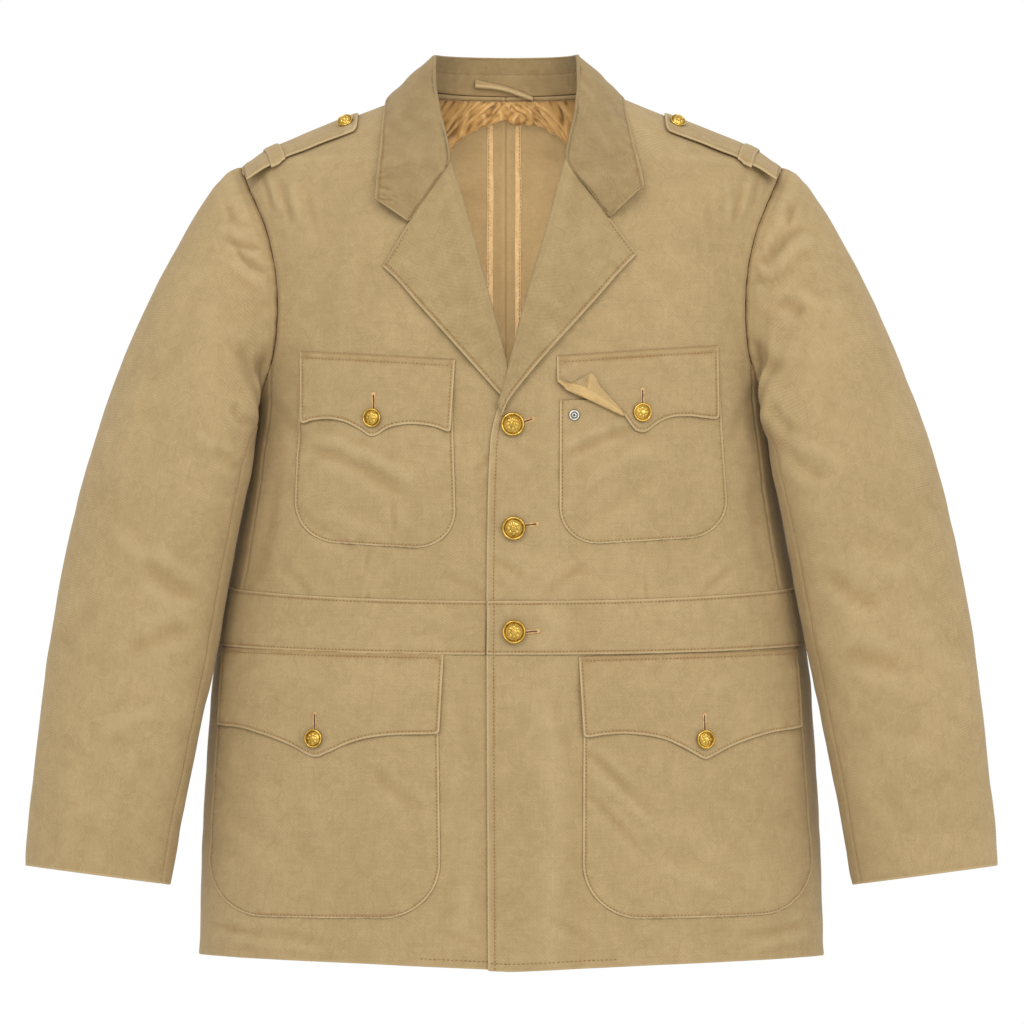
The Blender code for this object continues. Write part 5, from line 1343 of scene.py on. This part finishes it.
golden = np.maximum(np.maximum(1 - sunk, 0.75 * rib), 0.55 * wing * sunk) * (0.8 + 0.2 * noise(al[:, None] * 14, off / 3, 17))
# painted shade: dark lines along the edge of the sunk middle, beside the rib, in the crease at the knot and under the
# roll
line_dark = np.maximum(0.55 * np.exp(-((past - 0.3) / 0.8) ** 2) * (off > 0) * (1 - wing), 0.6 * np.exp(-((from_rib + 2.0) / 0.8) ** 2) * sunk)
line_dark = np.maximum(line_dark, 0.75 * np.exp(-((al[:, None] - 0.085) / 0.03) ** 2 - ((off - 0.4) / 0.8) ** 2))
line_dark = np.maximum(line_dark, 0.35 * np.exp(-((off + bulge[:, None] * 0.5) / 0.8) ** 2) * np.clip(noise(al[:, None] * 20, 0 * off, 19) + 0.4, 0, 1))
corner = cloth("cloth_flap_corner_left", "chest_flap_left", P, axis(P), FLAP_BACK, wear=np.clip(golden, 0, 1), tint=line_dark, wall=0.9, rim=0.6, declare=False)
flap_piece.extra.append(corner.ob)


# ---- shoulder straps ------------------------------------------------------------------------------------------------------
def shoulder_z(x, y):
    x, y = np.broadcast_arrays(np.asarray(x, float), np.asarray(y, float))
    lo, hi = np.full(x.shape, -160.0), np.full(x.shape, 12.0)
    for _ in range(40):
        mid = (lo + hi) / 2
        n = square(mid)
        d = y - middle_y(mid)
        depth = np.where(d < 0, depth_front(mid), depth_back(mid))
        inside = (np.abs(x) / half_width(mid)) ** n + (np.abs(d) / depth) ** n < 1
        lo, hi = np.where(inside, mid, lo), np.where(inside, hi, mid)
    return (lo + hi) / 2


def strap_z(x, y):
    inner = np.minimum(x, 196.0)
    ridge = np.full(np.shape(x), 6.0)
    return shoulder_z(x, ridge) - shoulder_z(inner, ridge) + shoulder_z(inner, y)


def on_shoulder(x, y, out):
    e = 2.0
    n = np.stack([strap_z(x - e, y) - strap_z(x + e, y), strap_z(x, y - e) - strap_z(x, y + e), np.full(np.shape(x), 2 * e)], -1)
    n /= np.linalg.norm(n, axis=-1, keepdims=True)
    return np.stack([x, y, strap_z(x, y)], -1) + n * np.broadcast_to(out, np.shape(x))[..., None]


STRAP_FRONT = ([131.0, 151.0, 176.0, 194.0, 232.0], [-42.5, -41.2, -39.6, -37.4, -37.5])     # x and y of the strap's front edge
for word, sign in (("right", -1), ("left", 1)):
    across = shares(42.0, 2.2) * 2 - 1
    down = shares(95.0, 2.6)
    front_share = (1 - across) / 2
    x_out, x_end = 231.0 - 6.0 * front_share, 131.0 + 2.2 * np.abs(across) ** 8
    x = x_out[None, :] + down[:, None] * (x_end - x_out)[None, :]
    y_front = smooth(STRAP_FRONT[0], STRAP_FRONT[1])(x)
    y = 1.5 + front_share[None, :] * (y_front - 1.5)
    d = np.minimum((1 - np.abs(across))[None, :] * 20.0 + 0 * x, (1 - down)[:, None] * 96.0 + 0 * x)
    high = 2.3 + 0.5 * np.abs(across[None, :]) ** 2 + 0.2 * np.exp(-((d - 1.5) / 1.5) ** 2) - 3.1 * step((x - 208) / 20)
    high = high + 0.35 * noise(x / 24, y / 30 + sign, 401)
    P = mirrored(on_shoulder(x, y, high), sign)
    band = np.exp(-((x - 142.5) / 0.9) ** 2) * step((front_share[None, :] - 0.55) / 0.1)
    pale_end = step((142 - x) / 2) * step((front_share[None, :] - 0.72) / 0.15)
    # pale edges: wear and painted highlight
    strap = cloth("cloth_epaulette_" + word, "epaulette_" + word, P, P - np.array([0, 0, 40.0]), KHAKI, wear=0.9 * np.exp(-(d / 0.8) ** 2) + (0.35 * pale_end if sign < 0 else 0.0),
                  wall=1.5, rim=0.8, held="laid", rests=["cloth_front_" + word], tint=np.maximum(0.4 * np.exp(-((d - 3.2) / 1.1) ** 2), 0.6 * band + (0.42 * pale_end if sign > 0 else 0.0)))
    ax_ = shares(46.0, 2.0) * 2 - 1
    row = shares(11.6, 1.2, start=False, end=False)
    y = -19.5 + ax_[None, :] * 19.6 + 0 * row[:, None]
    x = 205.8 + (y - 1.5) * 0.215 + (row[:, None] - 0.5) * -11.6
    edge = np.minimum(row, 1 - row)[:, None] * 11.6 + 0 * x
    high = 4.3 + 0.5 * np.abs(ax_[None, :]) ** 2 - 1.5 * step((np.abs(ax_[None, :]) - 0.90) / 0.10) - 0.3 * np.exp(-(edge / 0.8) ** 2)
    P = mirrored(on_shoulder(x, y, high), sign)
    # pale edges and ends: wear and painted highlight
    cloth("cloth_epaulette_loop_" + word, "epaulette_loop_" + word, P, P - np.array([0, 0, 40.0]), KHAKI, wall=1.2, rim=0.7,
          wear=0.6 * np.exp(-(edge / 0.9) ** 2) + 0.7 * step((np.abs(ax_[None, :]) - 0.93) / 0.05), tint=(0.45 if sign > 0 else 0.0) * step((-ax_[None, :] - 0.80) / 0.1) + 0 * x, held="laid",
          rests=["cloth_epaulette_" + word])


# ---- inside of the neck ---------------------------------------------------------------------------------------------------
LINING_LOW = smooth([0.0, 12.0, 24.0, 36.0, 48.0, 57.0, 80.0, 112.0], [-10.5, -11.0, -13.5, -18.5, -27.5, -36.0, -50.0, -60.0])
# wrinkles of the satin: place across (-1 to 1), lean, half width, depth, from and to (share of the height)
WRINKLES = [(-0.62, 0.22, 0.034, 2.4, 0.1, 1.0), (-0.52, 0.34, 0.020, 1.9, 0.35, 1.0), (-0.43, -0.05, 0.030, 2.6, 0.0, 0.75), (-0.35, 0.30, 0.018, 1.9, 0.5, 1.0),
            (-0.30, -0.16, 0.022, 2.2, 0.1, 0.6), (-0.21, 0.12, 0.018, 2.0, 0.55, 1.0), (-0.15, -0.12, 0.024, 2.2, 0.0, 0.55), (-0.05, 0.10, 0.018, 1.8, 0.45, 1.0),
            (0.03, 0.14, 0.022, 2.4, 0.0, 0.5), (0.10, -0.20, 0.018, 2.1, 0.4, 1.0), (0.17, 0.10, 0.026, 2.4, 0.0, 0.7), (0.26, -0.26, 0.018, 2.0, 0.3, 1.0),
            (0.34, -0.10, 0.030, 2.6, 0.0, 0.8), (0.44, -0.36, 0.020, 2.1, 0.3, 1.0), (0.53, 0.06, 0.034, 2.5, 0.1, 0.9), (0.64, -0.24, 0.026, 2.2, 0.2, 1.0),
            (-0.78, 0.10, 0.030, 1.7, 0.1, 1.0), (0.80, -0.10, 0.030, 1.7, 0.1, 1.0)]
u = np.linspace(-1.0, 1.0, 190)
v = shares(34.0, 1.6, end=False)
low_x = 112.0 * u
low_z = LINING_LOW(np.abs(low_x)) + 1.6 * noise(u * 16, 0 * u, 411) * np.exp(-(u / 0.5) ** 2) - 2.2 * np.exp(-((u - 0.02) / 0.07) ** 2) + 1.6 * np.exp(-((u + 0.07) / 0.05) ** 2)
x = low_x[None, :] + v[:, None] * (76.0 * u - low_x)[None, :]
z = low_z[None, :] + v[:, None] * (NECK_Z - 1.5 - low_z)[None, :]
t = math.pi - turn_at(x, z)
dent = np.zeros(z.shape)
warp = 0.045 * noise(u[None, :] * 7, v[:, None] * 2.6, 417)
for at, lean, wide, depth, v0, v1 in WRINKLES:
    q = (u[None, :] + warp - at - lean * (v[:, None] - 0.5)) / wide
    part = np.clip((v[:, None] - v0) / (v1 - v0), 0, 1)
    dent += depth * (1 - 0.7 * q * q) * np.exp(-0.8 * q * q) * np.sin(np.pi * (0.04 + 0.92 * part)) ** 0.6
dent += 1.0 * noise(u[None, :] * 22, v[:, None] * 5, 413) + 0.7 * noise(u[None, :] * 60, v[:, None] * 7, 415) * np.exp(-(u[None, :] / 0.3) ** 2) * (1 - v[:, None])
P = on_body(t, z, -LAYER - 2.4 - 1.1 * dent)
low_d = v[:, None] * 34 + 0 * z
# painted highlight on the wrinkles' ridges and painted shade in their troughs, along the lower edge and at its crumpled
# middle; the pale lower edge is wear and painted highlight
lining = cloth("cloth_neck_lining", "neck_lining", P, axis(P), SATIN_MAT, "satin_lining", 0.8, wear=0.8 * np.exp(-(low_d / 0.9) ** 2) + 0.6 * np.clip(dent, 0, 2) / 2,
               tint=np.clip(-1.35 * dent, 0, 1.0) + 0.7 * np.exp(-((low_d - 1.7) / 0.9) ** 2) + 0.6 * step((v[:, None] - 0.95) / 0.05) + 0.5 * np.exp(-(low_d / 3.0) ** 2) * np.exp(-((u[None, :] - 0.01) / 0.12) ** 2),
               held="hung", rests=["cloth_back_left", "cloth_back_right"], rim=0.5)

for word, x_low, x_high, z_low in (("right", -21.5, -16.5, -300.0), ("left", 3.5, 8.5, -300.0)):
    z = np.linspace(-6.0, z_low, 112)
    w = shares(5.0, 0.7, start=False, end=False)
    x = spread(np.full(len(z), x_low) + 0.5 * noise(z / 40, 0 * z, 421), np.full(len(z), x_high) + 0.5 * noise(z / 35, 0 * z, 423), w)
    zz = np.repeat(z[:, None], len(w), 1)
    t = math.pi - turn_at(x, zz)
    lie = -LAYER + 0.5 - 0.4 * np.sin(np.pi * w)[None, :] + 0.25 * noise(zz / 5, x / 5, 425)
    P = on_body(t, zz, lie)
    # pale edges of the tape: wear and painted highlight
    bind = cloth("cloth_seam_binding_" + word, "seam_binding_" + word, P, axis(P), TAPE, "satin_lining", 0.8,
                 wear=0.7 * np.exp(-((np.minimum(w, 1 - w) * 5)[None, :] / 0.7) ** 2) + 0 * zz,
                 tint=0.35 * np.clip(noise(zz / 3.2, x / 1.6, 427), 0, 1), declare=False)
    pieces["cloth_back_" + word].extra.append(bind.ob)
    sew(bind, inner_line(bind, 0 if word == "right" else 1, 1.3), 3.4)

s = np.linspace(0, 1, 60)
hang_x = -31.5 + 50.0 * s
hang_y = 62.2 - 0.0072 * hang_x ** 2 + 0.5 + 1.6 * step((s - 0.86) / 0.14)
low = smooth([0.0, 0.25, 0.5, 0.75, 1.0], [16.4, 16.0, 14.2, 10.2, 5.6])(s)
high_z = low + smooth([0.0, 0.08, 0.3, 1.0], [7.2, 6.2, 4.6, 3.8])(s)
w = shares(7.0, 0.7, start=False, end=False)
cord = np.exp(-((w[:, None] * (high_z - low)[None, :] - 1.5) / 1.3) ** 2)            # rolled lower edge that hangs free
P = np.stack([hang_x[None, :] + 0 * w[:, None], hang_y[None, :] - 1.6 * cord - 0.5 * (1 - w[:, None]) * np.sin(np.pi * s)[None, :],
              low[None, :] + w[:, None] * (high_z - low)[None, :]], -1)
# pale rolled cord: painted highlight; dark line above it: painted shade of the fold
hanger = cloth("cloth_hanger_loop", "hanger_loop", P, P + np.array([0, 40.0, 0]), KHAKI, wall=0.8, rim=0.5,
               wear=0.55 * cord, tint=0.5 * np.exp(-((w[:, None] * (high_z - low)[None, :] - 3.4) / 0.9) ** 2), declare=False)
stand.extra.append(hanger.ob)


# ---- buttons --------------------------------------------------------------------------------------------------------------
# outline of a domed button with a raised rim, as shares of its radius and height
BUTTON_OUTLINE = [(0.0, 1.0), (0.18, 0.985), (0.36, 0.93), (0.52, 0.84), (0.64, 0.73), (0.71, 0.62), (0.745, 0.52), (0.775, 0.52), (0.81, 0.62),
                  (0.86, 0.68), (0.92, 0.66), (0.97, 0.57), (1.0, 0.44), (0.985, 0.30), (0.90, 0.22), (0.42, 0.20), (0.26, 0.12), (0.26, 0.0)]
ROUND = 52


def frame_at(point, out):
    out = np.asarray(out) / np.linalg.norm(out)
    up = np.array([0, 0, 1.0]) - out * out[2]
    if np.linalg.norm(up) < 0.2:
        up = np.array([0, -1.0, 0]) - out * -out[1]
    up /= np.linalg.norm(up)
    return np.asarray(point), np.cross(up, out), up, out


def button(name, size, point, out, turn):
    line = np.array(BUTTON_OUTLINE)
    long = np.concatenate([[0], np.cumsum(np.hypot(*np.diff(line, axis=0).T))])
    s = np.linspace(0, long[-1], 50)
    r, h = np.interp(s, long, line[:, 0]), np.interp(s, long, line[:, 1])
    r[0] = 0.004
    th = np.linspace(0, 2 * math.pi, ROUND, endpoint=False) + turn
    rr, tt = np.meshgrid(r, th, indexing="ij")
    hh = np.repeat(h[:, None], ROUND, 1) * size * 0.30
    face = (s <= s[r.argmax()])[:, None]
    # plain rosette of eight petals round a boss inside a raised rim
    petal = (0.5 + 0.5 * np.cos(8 * tt)) * step((rr - 0.30) / 0.06) * step((0.64 - rr) / 0.14)
    boss = step((0.30 - rr) / 0.10)
    mill = np.exp(-((rr - 0.90) / 0.06) ** 2) * 0.5 * (1 + np.cos(28 * tt))
    relief = np.where(face, 0.042 * petal + 0.050 * boss + 0.006 * mill, 0) * size
    hh = hh + relief
    tint = np.where(face, 0.55 * np.clip(1 - 1.4 * petal - 1.3 * boss, 0, 1) * step((0.66 - rr) / 0.08), 0)
    tint = np.maximum(tint, np.where(face, np.exp(-((rr - 0.755) / 0.038) ** 2), 0))
    # painted shade where the rim turns under; the darker recesses above are tarnish
    tint = np.maximum(tint, 0.9 * step((rr - 0.965) / 0.03))
    o, ex, ey, ez = frame_at(point, out)
    R = size / 2
    V = o + (rr * R * np.cos(tt))[..., None] * ex + (rr * R * np.sin(tt))[..., None] * ey + hh[..., None] * ez
    rows, cols = rr.shape
    i = np.arange(rows * cols).reshape(rows, cols)
    j = np.roll(i, -1, 1)
    q = np.stack([i[:-1], i[1:], j[1:], j[:-1]], -1).reshape(-1, 4)
    verts = V.reshape(-1, 3)
    caps = []
    for row, flip in ((0, False), (rows - 1, True)):         # close the middle and the foot with strips of four-sided faces
        ringi = i[row]
        for m in range(ROUND // 2 - 1):
            f = [ringi[m], ringi[m + 1], ringi[ROUND - 2 - m], ringi[ROUND - 1 - m]]
            caps.append(f if not flip else f[::-1])
    ob = add_object("button_" + name[7:] + "_brass", verts, np.concatenate([q, np.array(caps)]), BRASS, None, {"tint": tint.ravel()})
    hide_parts(name)
    return ob


button_spots = {}
for index, (name, (x, z, size, layers)) in enumerate(BUTTONS.items()):
    side = 1 if x > -50 and "right" not in name else -1
    bx_, bz_ = np.array(abs(x) if side < 0 else x), np.array(z)
    if "front" in name:
        high = float(raise_left(bx_)) + WALL / 2 + (2.4 if name.endswith("3") else 0.0) + 0.5
    else:
        lift_fn = flap_data[name.replace("button_chest", "chest_flap").replace("button_hip", "hip_flap")][0]
        high = float(lift_fn(bx_.reshape(1), bz_.reshape(1))[0][0]) + float(under_of(side)(bx_)) + OVER_WALL / 2 + 0.3
    P = on_front(bx_, bz_, high, side)
    n = front_out(bx_, bz_, side)
    button(name, size, P, n, 0.35 * index)
for word, sign in (("right", -1), ("left", 1)):
    x, y = np.array(140.4), np.array(-23.5)
    P = on_shoulder(x, y, np.array(2.4 + 0.75 + 0.6))
    n = on_shoulder(x, y, np.array(1.0)) - on_shoulder(x, y, np.array(0.0)) + np.array([0.0, -0.55, 0.0])
    P[0] *= sign
    n[0] *= sign
    button("button_epaulette_" + word, STRAP_BUTTON, P, n, 0.2)

# ---- eyelet of the left chest pocket ----------------------------------------------------------------------------------------
ex_, ez_ = np.array(52.1), np.array(-273.9)
P0 = on_front(ex_, ez_, float(raise_left(ex_)) + 1.25 + 0.45 + 0.9, 1)
o, e1, e2, e3 = frame_at(P0, front_out(ex_, ez_, 1))
prof = np.array([(0.9, -0.6), (0.9, 0.15), (1.3, 0.42), (1.8, 0.36), (2.15, 0.0), (2.7, 0.0), (2.95, 0.6), (3.4, 0.95), (3.9, 0.9), (4.4, 0.55),
                 (4.8, 0.1), (4.8, -0.3), (4.2, -0.6)])
prof = np.array([[np.interp(f, np.arange(len(prof)), prof[:, k]) for k in range(2)] for f in np.linspace(0, len(prof) - 1, 49)])
prof = np.concatenate([prof, prof[:1]])
th = np.linspace(0, 2 * math.pi, 48, endpoint=False)
V = o + (prof[:-1, 0][:, None] * np.cos(th))[..., None] * e1 + (prof[:-1, 0][:, None] * np.sin(th))[..., None] * e2 + (prof[:-1, 1][:, None] + 0 * th)[..., None] * e3
rows, cols = V.shape[:2]
i = np.arange(rows * cols).reshape(rows, cols)
ni, j = np.roll(i, -1, 0), np.roll(i, -1, 1)
q = np.stack([i, j, np.roll(ni, -1, 1), ni], -1).reshape(-1, 4)
# painted shade on the eyelet's groove, outer edge and inner lip
ob = add_object("eyelet_ring", V.reshape(-1, 3), q, NICKEL, None, {"tint": np.repeat(np.where((np.abs(prof[:-1, 0] - 2.45) < 0.5) | (prof[:-1, 0] > 4.15) | (prof[:-1, 0] < 1.0), 1.0, 0.0), cols)})
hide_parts("pocket_eyelet")
# painted shade: a near-black disc stands in for the shade inside the eyelet's mouth
rad = np.array([0.05, 0.5, 0.95])
V = o + (rad[:, None] * np.cos(th))[..., None] * e1 + (rad[:, None] * np.sin(th))[..., None] * e2 - 0.1 * e3
V2 = V - 0.4 * e3
verts = np.concatenate([V.reshape(-1, 3), V2.reshape(-1, 3)])
i = np.arange(3 * 48).reshape(3, 48)
j = np.roll(i, -1, 1)
q1 = np.stack([i[:-1], i[1:], j[1:], j[:-1]], -1).reshape(-1, 4)
q2 = (q1 + 144)[:, ::-1]
q3 = np.stack([i[-1], i[-1] + 144, j[-1] + 144, j[-1]], -1)
q4 = np.stack([i[0], j[0], j[0] + 144, i[0] + 144], -1)
ob = add_object("eyelet_mouth", verts, np.concatenate([q1, q2, q3, q4]), SLIT_SHADE)
pieces["cloth_chest_pocket_left"].extra.append(ob)


# ---- thread ---------------------------------------------------------------------------------------------------------------
def thread_arrays(A, B, N, radius, sink=0.14, rise=0.14):
    """Short round threads from A to B lying on normals N: verts and faces."""
    ax = B - A
    ax /= np.maximum(np.linalg.norm(ax, axis=-1, keepdims=True), 1e-9)
    side_way = np.cross(ax, N)
    side_way /= np.maximum(np.linalg.norm(side_way, axis=-1, keepdims=True), 1e-9)
    N = np.cross(side_way, ax)
    parts, rad, up = np.array([0, 0.22, 0.78, 1.0]), np.array([0.5, 1, 1, 0.5]) * radius, np.array([-sink, rise, rise, -sink])
    ang = np.radians([0, 72, 144, 216, 288])
    C = A[:, None, :] + (B - A)[:, None, :] * parts[None, :, None] + N[:, None, :] * up[None, :, None]
    V = C[:, :, None, :] + (rad[None, :, None] * np.cos(ang)[None, None, :])[..., None] * N[:, None, None, :] \
        + (rad[None, :, None] * np.sin(ang)[None, None, :])[..., None] * side_way[:, None, None, :]
    m = len(ang)
    one = []
    for r in range(3):
        for c in range(m):
            one.append([r * m + c, r * m + (c + 1) % m, (r + 1) * m + (c + 1) % m, (r + 1) * m + c])
    one = np.array(one)
    first = np.array([[0, 4, 3, 1]])                       # ends are sunk in the cloth: two faces close each
    last = np.array([[15, 16, 18, 19]])
    tri = np.array([[1, 3, 2, 2], [18, 16, 17, 17]])
    faces = np.concatenate([one, first, last])
    count = len(A)
    F = (faces[None] + (np.arange(count) * 4 * m)[:, None, None]).reshape(-1, 4)
    T = (tri[None, :, :3] + (np.arange(count) * 4 * m)[:, None, None]).reshape(-1, 3)
    return V.reshape(-1, 3), F, T


def thread_object(name, V, F, T, mat):
    me = bpy.data.meshes.new(name)
    me.vertices.add(len(V))
    me.vertices.foreach_set("co", (V * MM).astype(np.float32).ravel())
    loops = np.concatenate([F.ravel(), T.ravel()]).astype(np.int32)
    me.loops.add(len(loops))
    me.loops.foreach_set("vertex_index", loops)
    me.polygons.add(len(F) + len(T))
    starts = np.concatenate([np.arange(len(F)) * 4, F.size + np.arange(len(T)) * 3]).astype(np.int32)
    me.polygons.foreach_set("loop_start", starts)
    me.polygons.foreach_set("use_smooth", np.ones(len(starts), bool))
    me.update(calc_edges=True)
    me.validate()
    me.materials.append(mat)
    ob = bpy.data.objects.new(name, me)
    scene.collection.objects.link(ob)
    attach(ob, "root")
    return ob


def resample(pts, ns, s):
    long = np.concatenate([[0], np.cumsum(np.linalg.norm(np.diff(pts, axis=0), axis=-1))])
    f = lambda v: np.stack([np.interp(s, long, v[:, k]) for k in range(3)], -1)
    return f(pts), f(ns)


def stitches(name, lines, radius=0.33):
    As, Bs, Ns = [], [], []
    for number, (pts, ns, pitch) in enumerate(lines):
        long = np.linalg.norm(np.diff(pts, axis=0), axis=-1).sum()
        count = max(1, int(long / pitch))
        start = (np.arange(count) + 0.15) * long / count
        start = start + 0.10 * pitch * noise(np.arange(count) * 0.71, np.full(count, 3.0 * number), 431)
        A, n1 = resample(pts, ns, start)
        B, n2 = resample(pts, ns, start + pitch * (0.66 + 0.05 * noise(np.arange(count) * 0.9, np.full(count, 1.0 * number), 433)))
        n = n1 + n2
        n /= np.linalg.norm(n, axis=-1, keepdims=True)
        As.append(A + n * 0.02)
        Bs.append(B + n * 0.02)
        Ns.append(n)
    V, F, T = thread_arrays(np.concatenate(As), np.concatenate(Bs), np.concatenate(Ns), radius)
    return thread_object(name, V, F, T, THREAD)


for owner, lines in thread_lines.items():
    ob = stitches("stitches_" + owner[6:], lines)
    if not pieces[owner].declare:
        for other in pieces.values():
            if pieces[owner].ob in other.extra:
                other.extra.append(ob)
                break
    else:
        pieces[owner].extra.append(ob)

# ---- buttonholes: x, z of the far end, x, z at the button, what they are cut in -----------------------------------------------
BUTTONHOLES = {
    "chest_right": (114.9, -255.3, 114.6, -268.4, "chest_flap_right"), "chest_left": (109.2, -251.7, 109.3, -264.0, "chest_flap_left"),
    "hip_right": (164.5, -521.7, 164.4, -535.6, "hip_flap_right"), "hip_left": (161.2, -522.6, 161.5, -536.2, "hip_flap_left"),
    "front_1": (18.4, -277.0, 9.4, -279.8, "front"), "front_2": (21.8, -364.3, 11.0, -365.3, "front"), "front_3": (22.6, -453.0, 11.0, -454.1, "belt"),
}
for name, (x0, z0, x1, z1, what) in BUTTONHOLES.items():
    side = -1 if "right" in name else 1
    if what in flap_data:
        height = lambda x, z: flap_data[what][0](x, z)[0]
    else:
        height = lambda x, z, up=(2.3 if what == "belt" else 0.0): np.full(np.shape(x), up)
    long = math.hypot(x1 - x0, z1 - z0)
    ux, uz = (x1 - x0) / long, (z1 - z0) / long
    at = lambda s, c: (x0 + ux * s - uz * c, z0 + uz * s + ux * c)

    def lifted(s, c, up):
        x, z = at(np.asarray(s, float), np.asarray(c, float))
        return on_front(x, z, height(x, z) + WALL / 2 + under_of(side)(x) + up, side), front_out(x, z, side)
    count = int(long / 0.42)
    s = np.repeat(np.arange(count) * 0.42 + 0.4, 2)
    half = np.tile([-1.0, 1.0], count)
    A, n = lifted(s, half * 0.42, 0.20)
    B, _ = lifted(s + 0.1, half * 1.75, 0.02)
    end = np.arange(5) * 0.42 - 0.6
    A2, n2 = lifted(end, np.full(5, -2.0), 0.12)
    B2, _ = lifted(end, np.full(5, 2.0), 0.12)
    V, F, T = thread_arrays(np.concatenate([A, A2]), np.concatenate([B, B2]), np.concatenate([n, n2]), 0.27, 0.08, 0.16)
    ob = thread_object("buttonhole_" + name, V, F, T, HOLE_THREAD)
    owner = {"front": "cloth_front_left", "belt": "cloth_belt_front_left"}.get(what, "cloth_" + what)
    pieces[owner].extra.append(ob)
    # painted shade: a near-black strip stands in for the shade inside the buttonhole's cut
    ss = np.linspace(0.6, long, 14)
    cc = np.array([-0.42, 0.0, 0.42])
    S, C = np.meshgrid(ss, cc, indexing="ij")
    P, n = lifted(S, C, 0.22 - 0.5 * (C / 0.42) ** 2 * 0.3)
    verts, quads, full, _, _ = shell_arrays(P, P - n * 30, 0.25)
    ob = add_object("buttonhole_slit_" + name, verts, quads, SLIT_SHADE)
    pieces[owner].extra.append(ob)

# ---- flat size of each piece: read, not used --------------------------------------------------------------------------------
for piece in pieces.values():
    if piece.declare:
        w, l = piece.flat

# ---- floor, light ---------------------------------------------------------------------------------------------------------
FLOOR_Z = -1.48
me = bpy.data.meshes.new("floor")
f = 2.6
me.from_pydata([(-f, -f, FLOOR_Z), (f, -f, FLOOR_Z), (f, f, FLOOR_Z), (-f, f, FLOOR_Z)], [], [(0, 1, 2, 3)])
m = Nodes("floor_pale")
m.link(m.ramp(m.noise(3.0, 3.0), (0.3, (0.80, 0.795, 0.785)), (0.7, (0.84, 0.835, 0.825))), m.shader.inputs["Base Color"])
set_plain(m.shader, Roughness=0.75)
me.materials.append(m.mat)
floor = bpy.data.objects.new("floor", me)
scene.collection.objects.link(floor)

world = bpy.data.worlds.new("studio")
scene.world = world
world.use_nodes = True
world.node_tree.nodes["Background"].inputs["Color"].default_value = (1, 1, 1, 1)
world.node_tree.nodes["Background"].inputs["Strength"].default_value = 1.0


def area_light(name, place, target, wide, tall, power):
    l = bpy.data.lights.new(name, "AREA")
    l.shape = "RECTANGLE"
    l.size, l.size_y, l.energy = wide, tall, power
    ob = bpy.data.objects.new(name, l)
    ob.location = place
    ob.rotation_euler = (Vector(target) - Vector(place)).to_track_quat("-Z", "Y").to_euler()
    scene.collection.objects.link(ob)
    return ob


area_light("key", (-0.9, -2.7, 1.7), (0, 0, -0.35), 1.6, 1.2, 36)
area_light("fill", (1.6, -2.6, 0.6), (0, 0, -0.35), 1.6, 1.6, 27)
glow = area_light("neck_glow", (-0.003, -0.015, -0.115), (-0.003, 1.0, -0.115), 0.10, 0.22, 0.115)      # lights the inside seen at the neck
glow.data.spread = math.radians(100)
glow.data.color = (1.0, 0.91, 0.81)
glow.visible_camera = False
scene.view_settings.view_transform = "Standard"
scene.view_settings.look = "None"
